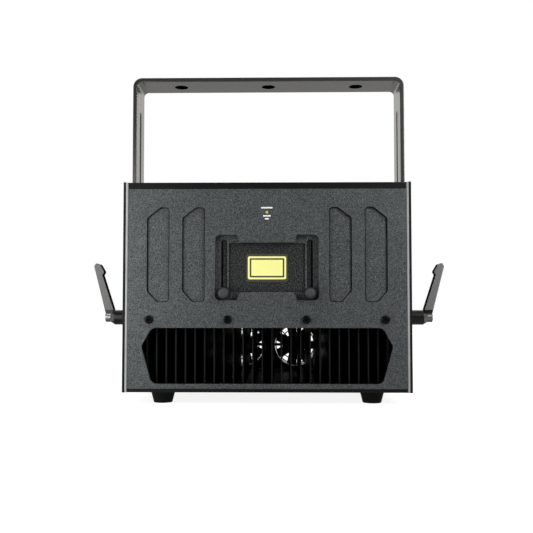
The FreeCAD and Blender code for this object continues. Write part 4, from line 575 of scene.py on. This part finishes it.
def lever_coat(name, colours, sizes, side):
    """Clamp lever: black hub, painted sheen as grey on the arm's outer faces, painted shade as black on its
    inner faces, and a bright end on the hub.
    """
    finish = Finish(name)
    pivot = middle("left_clamp_screw").z
    hub_top = pivot + sizes.hub_radius
    boss_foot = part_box("yoke")[1][0] + sizes.boss_start
    soft = 0.8 * MM
    x, _, z = finish.parts(finish.place)
    inward = finish.math("MULTIPLY", finish.parts(finish.facing)[0], -side)
    fine = finish.grain(size=0.7 * MM)
    above = finish.between(z, low=0.0, high=1.0, start=hub_top, end=hub_top + 0.6 * MM)
    out = finish.math("SUBTRACT", finish.math("MULTIPLY", x, side), boss_foot)
    away = finish.math("ABSOLUTE", finish.math("SUBTRACT", z, pivot))
    round_end = finish.between(away, low=1.0, high=0.0, start=sizes.boss_radius - soft,
                               end=sizes.boss_radius + soft)
    boss = finish.math("MULTIPLY", round_end, finish.between(out, low=0.0, high=1.0, start=0.0, end=soft))
    # Painted sheen and shade: the arm's faces that turn outward are grey for its sheen, and those that turn
    # inward stay black and dull as shade.
    painted_sheen_faces = finish.math("MULTIPLY", above, finish.between(inward, low=1.0, high=0.0, start=0.3, end=0.6))
    painted_shade_faces = finish.math("MULTIPLY", above, finish.between(inward, low=0.0, high=1.0, start=0.3, end=0.6))
    black = finish.shaded(colours.hub, finish.varied(fine, low=0.8, high=1.2))
    grey = finish.shaded(colours.arm, finish.varied(fine, low=0.88, high=1.12))
    return finish.set(Base_Color=finish.mixed(finish.math("MAXIMUM", painted_sheen_faces, boss), black, grey),
                      Metallic=finish.math("MAXIMUM", finish.between(boss, low=0.0, high=0.9), painted_shade_faces),
                      Roughness=finish.math("MAXIMUM", finish.between(painted_sheen_faces, low=0.3, high=0.6), painted_shade_faces),
                      Specular_IOR_Level=LEVER_SHINE, Normal=finish.bump(fine, depth=0.02 * MM))


def circuit(name, mask, metal):
    """Circuit board: solder mask with tracks under it and plated pads."""
    finish = Finish(name)
    tracks = finish.node("TexBrick", {"Vector": finish.place, "Scale": 90.0, "Mortar Size": 0.03,
                                      "Color1": EVEN, "Color2": (0.9, 0.9, 0.9),
                                      "Mortar": (0.55, 0.55, 0.55)}).outputs[0]
    cells = finish.node("TexVoronoi", {"Vector": finish.place, "Scale": 260.0}).outputs["Distance"]
    pads = finish.between(cells, low=1.0, high=0.0, start=0.14, end=0.2)
    green = finish.node("VectorMath", (mask, tracks), operation="MULTIPLY").outputs[0]
    return finish.set(Base_Color=finish.mixed(pads, green, metal), Metallic=pads,
                      Roughness=finish.between(pads, low=0.35, high=0.25),
                      Normal=finish.bump(pads, depth=0.1 * MM))


# Housing

class PROJECTOR_OT_front_panel(bpy.types.Operator):
    """Gives the front panel its sand-textured coat"""
    bl_idname = "projector.front_panel"
    bl_label = "Coat the front panel"

    def execute(self, context):
        colours, sizes = context.scene.projector_colours, context.scene.projector_sizes
        paint(front_coat("front_sand_coat", colours, sizes), "front_panel")
        return {"FINISHED"}


class PROJECTOR_OT_shell(bpy.types.Operator):
    """Coats the side panels, lid, base and rear panel"""
    bl_idname = "projector.shell"
    bl_label = "Coat the shell"

    def execute(self, context):
        colours, sizes = context.scene.projector_colours, context.scene.projector_sizes
        paint(bevelled_coat("side_panel_coat", colours, sizes), "left_side_panel", "right_side_panel")
        paint(shell_coat("shell_coat", colours, sizes), "top_cover", "base_plate", "rear_panel")
        return {"FINISHED"}


class PROJECTOR_OT_fasteners(bpy.types.Operator):
    """Finishes the screws and the feet"""
    bl_idname = "projector.fasteners"
    bl_label = "Finish screws and feet"

    def execute(self, context):
        colours = context.scene.projector_colours
        paint(coat("screw_blackening", colours.screw, roughness=0.16, grain=0.4 * MM, spread=0.25,
                   depth=0.005 * MM, shine=0.1),
              "front_panel_screws", "side_panel_screws", "top_cover_screws", "rear_screws", "foot_screws")
        paint(coat("foot_rubber", colours.rubber, roughness=0.7, grain=0.5 * MM, spread=0.25,
                   depth=0.04 * MM, shine=0.15),
              "front_left_foot", "front_right_foot", "rear_left_foot", "rear_right_foot")
        return {"FINISHED"}


class PROJECTOR_OT_aperture(bpy.types.Operator):
    """Finishes the shutter, its blank plate, thumb screws, guide frame and window"""
    bl_idname = "projector.aperture"
    bl_label = "Finish the aperture"

    def execute(self, context):
        colours, sizes = context.scene.projector_colours, context.scene.projector_sizes
        shutter = sand_coat("shutter_coat", colours.shutter, sizes.shutter_grain, SHUTTER_FLECK)
        paint(shutter.set(Specular_IOR_Level=SHUTTER_SHINE), "aperture_shutter")
        paint(plain_plate("blank_plate_film", colours, middle("shutter_label"), sizes), "shutter_label")
        paint(knob_plastic("thumb_screw_plastic", colours.knob), "left_shutter_knob", "right_shutter_knob")
        paint(coat("guide_anodising", colours.sink, roughness=0.45, grain=0.6 * MM, spread=0.15,
                   depth=0.01 * MM, stretch=(0.05, 1, 1), shine=0.2),
              "window_frame")
        paint(coat("gasket_rubber", colours.rubber, roughness=0.8, grain=0.5 * MM), "window_seal")
        glass = coat("window_glass", colours.glass, roughness=0.06, grain=5 * MM, spread=0.02, depth=0.0)
        paint(glass.set(Transmission_Weight=1.0, IOR=1.52), "aperture_window")
        return {"FINISHED"}


def add_marks(lamp, finish, sizes):
    """Three plain bars of white print above and below the lamp."""
    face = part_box("front_panel")[0][1]
    for name, width, rise in (("upper_lamp_mark", sizes.upper_mark, sizes.upper_rise),
                              ("lower_lamp_mark", sizes.lower_mark, -sizes.lower_drop),
                              ("last_lamp_mark", sizes.last_mark, -sizes.last_drop)):
        radius = sizes.mark_height * MARK_CORNER
        outline = rounded_outline(width, sizes.mark_height, radius)
        crown = rounded_outline(width - sizes.mark_thick, sizes.mark_height - sizes.mark_thick, radius)
        foot = Vector((lamp.x, face, lamp.z + rise))
        shoulder = foot - REARWARD * sizes.mark_thick / 2
        top = foot - REARWARD * sizes.mark_thick
        mesh = bmesh.new()
        loft(mesh, [rear_ring(foot, outline), rear_ring(shoulder, outline), rear_ring(top, crown)])
        add_piece(name, mesh, finish)


class PROJECTOR_OT_lamp(bpy.types.Operator):
    """Lights the indicator lamp and prints the plain white marks by it"""
    bl_idname = "projector.lamp"
    bl_label = "Light the lamp"

    def execute(self, context):
        colours, sizes = context.scene.projector_colours, context.scene.projector_sizes
        lens = coat("lamp_lens", colours.lamp, roughness=0.2, grain=0.4 * MM, spread=0.15)
        paint(lens.set(Emission_Color=lens.tone, Emission_Strength=0.3, Coat_Weight=0.6), "emission_lamp")
        white = coat("white_print", colours.white, roughness=0.5, grain=0.6 * MM, spread=0.12,
                     depth=0.01 * MM)
        add_marks(middle("emission_lamp"), white, sizes)
        return {"FINISHED"}


# Yoke and clamps

class PROJECTOR_OT_yoke(bpy.types.Operator):
    """Paints the yoke and finishes the clamps that hold it"""
    bl_idname = "projector.yoke"
    bl_label = "Paint the yoke"

    def execute(self, context):
        colours, sizes = context.scene.projector_colours, context.scene.projector_sizes
        paint(yoke_paint("yoke_paint", colours, sizes), "yoke")
        paint(coat("washer_nylon", colours.rubber, roughness=0.55, grain=0.6 * MM, spread=0.15),
              "pivot_washers")
        paint(coat("clamp_steel", colours.steel, roughness=0.26, grain=0.4 * MM, spread=0.1,
                   depth=0.01 * MM, metallic=1.0, stretch=(1, 0.1, 0.1)),
              "left_clamp_screw", "right_clamp_screw")
        for side, name in ((-1, "left"), (1, "right")):
            paint(lever_coat(f"{name}_lever_coat", colours, sizes, side), f"{name}_clamp_handle")
        return {"FINISHED"}


# Cooling and inside

class PROJECTOR_OT_cooling(bpy.types.Operator):
    """Finishes the heat sink, the fans and their guards"""
    bl_idname = "projector.cooling"
    bl_label = "Finish the cooling"

    def execute(self, context):
        colours = context.scene.projector_colours
        paint(coat("fin_anodising", colours.sink, roughness=0.45, grain=0.8 * MM, depth=0.03 * MM,
                   stretch=(1, 0.02, 1), shine=0.12),
              "heat_sink")
        paint(coat("fan_plastic", colours.socket, roughness=0.4, grain=0.7 * MM, spread=0.15,
                   depth=0.02 * MM),
              "left_fan_frame", "right_fan_frame", "left_fan_rotor", "right_fan_rotor")
        paint(coat("guard_chrome", colours.chrome, roughness=0.2, grain=2 * MM, spread=0.06,
                   depth=0.01 * MM, metallic=1.0),
              "left_fan_guard", "right_fan_guard")
        return {"FINISHED"}


class PROJECTOR_OT_optics(bpy.types.Operator):
    """Finishes the bench, scanner, mirrors and laser modules"""
    bl_idname = "projector.optics"
    bl_label = "Finish the optics"

    def execute(self, context):
        colours = context.scene.projector_colours
        paint(coat("bench_aluminium", colours.aluminium, roughness=0.36, grain=0.6 * MM, spread=0.1,
                   depth=0.01 * MM, metallic=1.0, stretch=(0.03, 1, 1)),
              "optical_bench", "left_top_rail", "right_top_rail", "scanner_mount")
        paint(coat("motor_steel", colours.steel, roughness=0.3, grain=0.5 * MM, spread=0.1, depth=0.01 * MM,
                   metallic=1.0, stretch=(0.2, 0.2, 1)),
              "horizontal_galvo", "vertical_galvo")
        paint(coat("mirror_coating", colours.mirror, roughness=0.06, grain=8 * MM, spread=0.02, depth=0.0,
                   metallic=1.0),
              "horizontal_mirror", "vertical_mirror", "combiner_mirrors")
        paint(coat("laser_block", colours.laser, roughness=0.34, grain=0.7 * MM, spread=0.12,
                   depth=0.02 * MM, metallic=1.0, stretch=(1, 0.05, 1)),
              "red_laser_module", "green_laser_module", "blue_laser_module")
        return {"FINISHED"}


class PROJECTOR_OT_electronics(bpy.types.Operator):
    """Finishes the power supply and the circuit boards"""
    bl_idname = "projector.electronics"
    bl_label = "Finish the electronics"

    def execute(self, context):
        colours = context.scene.projector_colours
        paint(coat("supply_sheet", colours.aluminium, roughness=0.42, grain=1.2 * MM, spread=0.14,
                   depth=0.02 * MM, metallic=1.0), "power_supply")
        paint(circuit("board_mask", colours.board, colours.gold), "scanner_driver", "control_board")
        return {"FINISHED"}


# Rear connectors

def add_mains_pins(well, finish, sizes):
    """Three plated blades with chamfered tips in the mains plug's well."""
    chamfer = sizes.pin_width / 4
    body = rounded_outline(sizes.pin_width, sizes.pin_height, chamfer / 2)
    tip = rounded_outline(sizes.pin_width - chamfer, sizes.pin_height - chamfer, chamfer / 2)
    mesh = bmesh.new()
    for side, rise in ((-1, -1), (0, 1), (1, -1)):
        foot = well + RIGHT * side * sizes.pin_spread + UP * rise * sizes.pin_rise
        loft(mesh, [rear_ring(foot, body), rear_ring(foot + REARWARD * (sizes.pin_length - chamfer), body),
                    rear_ring(foot + REARWARD * sizes.pin_length, tip)])
    add_piece("mains_pins", mesh, finish)


def add_rocker_marks(face, finish, sizes):
    """A bar and a ring on the two halves of the rocker's dished face."""
    joint = next(item for item in frame["joints"] if item["name"] == "rocker_tilt")
    turn = Matrix.Rotation(-math.radians(joint["range_deg"][1]) / 2, 3, "X")
    pivot = face - REARWARD * sizes.rocker_pivot
    slope = math.atan2(sizes.rocker_dip, sizes.rocker_half)
    thick = REARWARD * sizes.mark_thick
    reach = sizes.rocker_half / 2
    outer = sizes.rocker_mark / 2
    bar = rounded_outline(outer / 2, sizes.rocker_mark, outer / 8)
    mesh = bmesh.new()
    for end in (1, -1):
        lean = turn @ Matrix.Rotation(-slope * end, 3, "X")
        seat = face + REARWARD * (sizes.rocker_proud - sizes.rocker_dip / 2) + UP * reach * end
        seat = pivot + turn @ (seat - pivot)
        top = seat + lean @ thick
        up = lean @ UP
        if end > 0:
            loft(mesh, [ring(seat, RIGHT, up, bar), ring(top, RIGHT, up, bar)])
        else:
            bands = [(seat, outer), (top, outer), (top, outer * RING_BORE), (seat, outer * RING_BORE)]
            loft(mesh, [ring(spot, RIGHT, up, round_outline(radius)) for spot, radius in bands],
                 closed=False)
    add_piece("rocker_marks", mesh, finish, "rocker")


class PROJECTOR_OT_mains(bpy.types.Operator):
    """Finishes the mains module, plates its pins and marks its rocker"""
    bl_idname = "projector.mains"
    bl_label = "Finish the mains module"

    def execute(self, context):
        colours, sizes = context.scene.projector_colours, context.scene.projector_sizes
        paint(coat("mains_plastic", colours.socket, roughness=0.4, grain=0.6 * MM, spread=0.18,
                   depth=0.02 * MM), "mains_inlet")
        paint(coat("rocker_plastic", colours.socket, roughness=0.22, grain=0.6 * MM, spread=0.1,
                   depth=0.01 * MM), "mains_rocker")
        centre = middle("mains_inlet")
        face = Vector((centre.x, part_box("mains_inlet")[1][1], centre.z))
        nickel = coat("pin_nickel", colours.nickel, roughness=0.22, grain=0.5 * MM, spread=0.06,
                      depth=0.01 * MM, metallic=1.0)
        add_mains_pins(face - REARWARD * sizes.plug_depth - UP * sizes.plug_drop, nickel, sizes)
        white = coat("rocker_print", colours.white, roughness=0.45, grain=0.6 * MM, spread=0.1,
                     depth=0.01 * MM)
        add_rocker_marks(face + UP * sizes.rocker_rise, white, sizes)
        return {"FINISHED"}


def add_signal_contacts(insulator, gold, sizes):
    """An insulator with two rows of contact cups in each signal socket."""
    low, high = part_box("signal_sockets")
    level = middle("signal_sockets").z
    half_width, half_height = sizes.insulator_width / 2, sizes.insulator_height / 2
    foot_half = half_width - sizes.insulator_slope
    shape = [(-foot_half, -half_height), (foot_half, -half_height),
             (half_width, half_height), (-half_width, half_height)]
    crown = [(u * INSULATOR_CROWN[0], v * INSULATOR_CROWN[1]) for u, v in shape]
    blocks = bmesh.new()
    cups = bmesh.new()
    for x in (low[0] + sizes.signal_flange / 2, high[0] - sizes.signal_flange / 2):
        face = Vector((x, high[1], level))
        wall = face + REARWARD * sizes.insulator_wall
        top = face + REARWARD * sizes.insulator_proud
        loft(blocks, [rear_ring(face, shape), rear_ring(wall, shape), rear_ring(top, crown)])
        for count, row in ((UPPER_CONTACTS, 1), (LOWER_CONTACTS, -1)):
            for index in range(count):
                across = (index - (count - 1) / 2) * sizes.contact_pitch
                spot = top + RIGHT * across + UP * row * sizes.contact_row / 2
                loft_sleeve(cups, spot, sizes.contact_radius, sizes.contact_radius * CUP_BORE,
                            top=sizes.contact_proud, bottom=0.0, sides=CUP_SIDES)
    add_piece("signal_insulators", blocks, insulator)
    add_piece("signal_contacts", cups, gold)


class PROJECTOR_OT_signal_sockets(bpy.types.Operator):
    """Plates the signal sockets and key switch, and sets the signal contacts"""
    bl_idname = "projector.signal_sockets"
    bl_label = "Finish the signal sockets"

    def execute(self, context):
        colours, sizes = context.scene.projector_colours, context.scene.projector_sizes
        paint(coat("socket_nickel", colours.nickel, roughness=0.26, grain=0.7 * MM, spread=0.08,
                   depth=0.01 * MM, metallic=1.0),
              "signal_sockets", "key_switch", "switch_key")
        paint(coat("eye_steel", colours.steel, roughness=0.32, grain=0.6 * MM, spread=0.1, depth=0.02 * MM,
                   metallic=1.0, stretch=(0.05, 1, 1)), "safety_eye")
        insulator = coat("insulator_plastic", colours.insulator, roughness=0.4, grain=0.6 * MM, spread=0.12,
                         depth=0.01 * MM)
        gold = coat("signal_gold", colours.gold, roughness=0.25, grain=0.4 * MM, spread=0.08,
                    depth=0.01 * MM, metallic=1.0)
        add_signal_contacts(insulator, gold, sizes)
        return {"FINISHED"}


def add_network_wires(finish, sizes):
    """Eight bent contact wires in the network jack."""
    centre = middle("network_socket")
    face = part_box("network_socket")[1][1]
    outline = round_outline(sizes.wire_radius, WIRE_SIDES)
    mesh = bmesh.new()
    for index in range(WIRE_COUNT):
        x = centre.x + (index - (WIRE_COUNT - 1) / 2) * sizes.wire_pitch
        path = [Vector((x, face - back * MM, centre.z + rise * MM)) for back, rise in WIRE_BENDS]
        rings = []
        for place, point in enumerate(path):
            along = path[min(place + 1, len(path) - 1)] - path[max(place - 1, 0)]
            rings.append(ring(point, RIGHT, RIGHT.cross(along).normalized(), outline))
        loft(mesh, rings)
    add_piece("network_contacts", mesh, finish)


def add_data_contacts(finish, sizes):
    """Three contact sleeves in each data socket."""
    low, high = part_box("data_sockets")
    jack_low, jack_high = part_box("network_socket")
    half_width = (jack_high[0] - jack_low[0]) / 2
    level = middle("network_socket").z
    mesh = bmesh.new()
    for x in (low[0] + half_width, (low[0] + high[0]) / 2, high[0] - half_width):
        for index in range(SLEEVE_COUNT):
            angle = math.tau * index / SLEEVE_COUNT
            spot = Vector((x + sizes.sleeve_circle * math.cos(angle), jack_high[1],
                           level - sizes.sleeve_circle * math.sin(angle)))
            loft_sleeve(mesh, spot, sizes.sleeve_radius, sizes.sleeve_radius * SLEEVE_BORE,
                        top=sizes.sleeve_proud, bottom=-sizes.sleeve_length)
    add_piece("data_contacts", mesh, finish)


class PROJECTOR_OT_data_sockets(bpy.types.Operator):
    """Finishes the data and network sockets and sets their contacts"""
    bl_idname = "projector.data_sockets"
    bl_label = "Finish the data sockets"

    def execute(self, context):
        colours, sizes = context.scene.projector_colours, context.scene.projector_sizes
        paint(coat("socket_plastic", colours.socket, roughness=0.4, grain=0.6 * MM, spread=0.18,
                   depth=0.02 * MM), "data_sockets", "network_socket")
        gold = coat("contact_gold", colours.gold, roughness=0.25, grain=0.4 * MM, spread=0.08,
                    depth=0.01 * MM, metallic=1.0)
        add_network_wires(gold, sizes)
        add_data_contacts(gold, sizes)
        return {"FINISHED"}


# Studio

def add_lamp(name, place, size, watts):
    """Large soft lamp that faces the projector."""
    data = bpy.data.lights.new(name, "AREA")
    data.shape = "RECTANGLE"
    data.size, data.size_y = size
    data.energy = watts
    lamp = bpy.data.objects.new(name, data)
    lamp.location = place
    lamp.rotation_euler = (LAMP_AIM - Vector(place)).to_track_quat("-Z", "Y").to_euler()
    lamp.visible_camera = False
    bpy.context.scene.collection.objects.link(lamp)


def floor_paper(name, studio):
    """Pale paper that shows white and keeps the shadow."""
    finish = Finish(name)
    cloud = finish.varied(finish.grain(FLOOR_CLOUD), low=0.98, high=1.02)
    tone = finish.shaded((studio.floor, studio.floor, studio.floor), cloud)
    away = finish.node("VectorMath", (finish.place,), operation="LENGTH").outputs["Value"]
    glow = finish.between(away, low=studio.floor_glow, high=1.0, start=GLOW_START, end=GLOW_END)
    paths = finish.node("LightPath").outputs
    seen = finish.math("MAXIMUM", paths["Is Camera Ray"], paths["Is Transmission Ray"])
    seen = finish.math("MAXIMUM", seen, finish.math("MULTIPLY", paths["Is Glossy Ray"], studio.floor_gloss))
    return finish.set(Base_Color=tone, Roughness=FLOOR_ROUGHNESS, Specular_IOR_Level=0.0,
                      Emission_Color=finish.mixed(paths["Is Glossy Ray"], EVEN, studio.gloss_tone),
                      Emission_Strength=finish.math("MULTIPLY", seen, glow))


def add_floor(studio):
    """Floor that the projector stands on."""
    mesh = bmesh.new()
    bmesh.ops.create_grid(mesh, x_segments=FLOOR_STEPS, y_segments=FLOOR_STEPS, size=FLOOR_HALF)
    floor = add_object("studio_floor", mesh, floor_paper("floor_paper", studio))


def add_surround(studio):
    """White surround; it lights at a lower level than it shows, and the room in front is dim."""
    world = bpy.data.worlds.new("white_surround")
    world.use_nodes = True
    room = ShaderTree(world.node_tree)
    paths = room.node("LightPath").outputs
    rearward = room.parts(room.node("TexCoord").outputs["Generated"])[1]
    level = room.between(rearward, low=studio.front_gloss, high=1.0, start=ROOM_FRONT, end=ROOM_REAR)
    seen = room.math("MAXIMUM", paths["Is Camera Ray"], paths["Is Transmission Ray"])
    gloss = room.math("MULTIPLY", paths["Is Glossy Ray"], level)
    light = room.math("MULTIPLY", room.math("SUBTRACT", 1.0, paths["Is Glossy Ray"]), studio.ambient)
    background = room.tree.nodes["Background"].inputs
    room.feed(background["Color"], room.mixed(paths["Is Glossy Ray"], EVEN, studio.gloss_tone))
    room.feed(background["Strength"], room.math("MAXIMUM", seen, room.math("ADD", gloss, light)))
    bpy.context.scene.world = world


def add_camera(studio):
    """Camera at the place from which the projector is shown."""
    data = bpy.data.cameras.new("photo_camera")
    data.lens = studio.lens
    camera = bpy.data.objects.new("photo_camera", data)
    camera.location = studio.camera_place
    pitch, roll, turn = studio.camera_turn
    camera.rotation_euler = (math.pi / 2 + pitch, roll, turn)
    bpy.context.scene.collection.objects.link(camera)
    bpy.context.scene.camera = camera


class PROJECTOR_OT_stage(bpy.types.Operator):
    """Sets the floor, the soft light, the white surround and the camera"""
    bl_idname = "projector.stage"
    bl_label = "Set the stage"

    def execute(self, context):
        studio = context.scene.projector_studio
        add_floor(studio)
        add_surround(studio)
        add_lamp("left_soft_lamp", studio.left_place, studio.left_size, studio.left_power)
        add_lamp("right_soft_lamp", studio.right_place, studio.right_size, studio.right_power)
        add_lamp("top_soft_lamp", studio.top_place, studio.top_size, studio.top_power)
        x, y, z = studio.rear_place
        add_lamp("rear_left_soft_lamp", (-x, y, z), studio.rear_size, studio.rear_power)
        add_lamp("rear_right_soft_lamp", (x, y, z), studio.rear_size, studio.rear_power)
        add_camera(studio)
        context.scene.view_settings.view_transform = "Standard"
        return {"FINISHED"}


# Panel and registration

class PROJECTOR_PT_panel(bpy.types.Panel):
    """Lists the steps that dress the projector"""
    bl_idname = "PROJECTOR_PT_panel"
    bl_label = "Laser show projector"
    bl_space_type = "VIEW_3D"
    bl_region_type = "UI"
    bl_category = "Projector"

    def draw(self, context):
        """Draws a button for each step and a field for each property."""
        for operator in OPERATORS:
            self.layout.operator(operator.bl_idname)
        for group in GROUPS:
            settings = getattr(context.scene, group)
            for name in settings.bl_rna.properties.keys():
                if name not in {"rna_type", "name"}:
                    self.layout.prop(settings, name)


GROUPS = {
    "projector_colours": ProjectorColours,
    "projector_sizes": ProjectorSizes,
    "projector_studio": ProjectorStudio,
}
OPERATORS = (
    PROJECTOR_OT_front_panel,
    PROJECTOR_OT_shell,
    PROJECTOR_OT_fasteners,
    PROJECTOR_OT_aperture,
    PROJECTOR_OT_lamp,
    PROJECTOR_OT_yoke,
    PROJECTOR_OT_cooling,
    PROJECTOR_OT_optics,
    PROJECTOR_OT_electronics,
    PROJECTOR_OT_mains,
    PROJECTOR_OT_signal_sockets,
    PROJECTOR_OT_data_sockets,
    PROJECTOR_OT_stage,
)


def register():
    """Registers the property groups, operators and panel."""
    for name, group in GROUPS.items():
        bpy.utils.register_class(group)
        setattr(bpy.types.Scene, name, bpy.props.PointerProperty(type=group))
    for entry in (*OPERATORS, PROJECTOR_PT_panel):
        bpy.utils.register_class(entry)


def unregister():
    """Takes them out again."""
    for entry in (PROJECTOR_PT_panel, *reversed(OPERATORS)):
        bpy.utils.unregister_class(entry)
    for name, group in GROUPS.items():
        delattr(bpy.types.Scene, name)
        bpy.utils.unregister_class(group)


def main():
    """Dresses the projector step by step."""
    register()
    for operator in OPERATORS:
        family, name = operator.bl_idname.split(".")
        getattr(getattr(bpy.ops, family), name)()


if __name__ == "__main__":
    main()
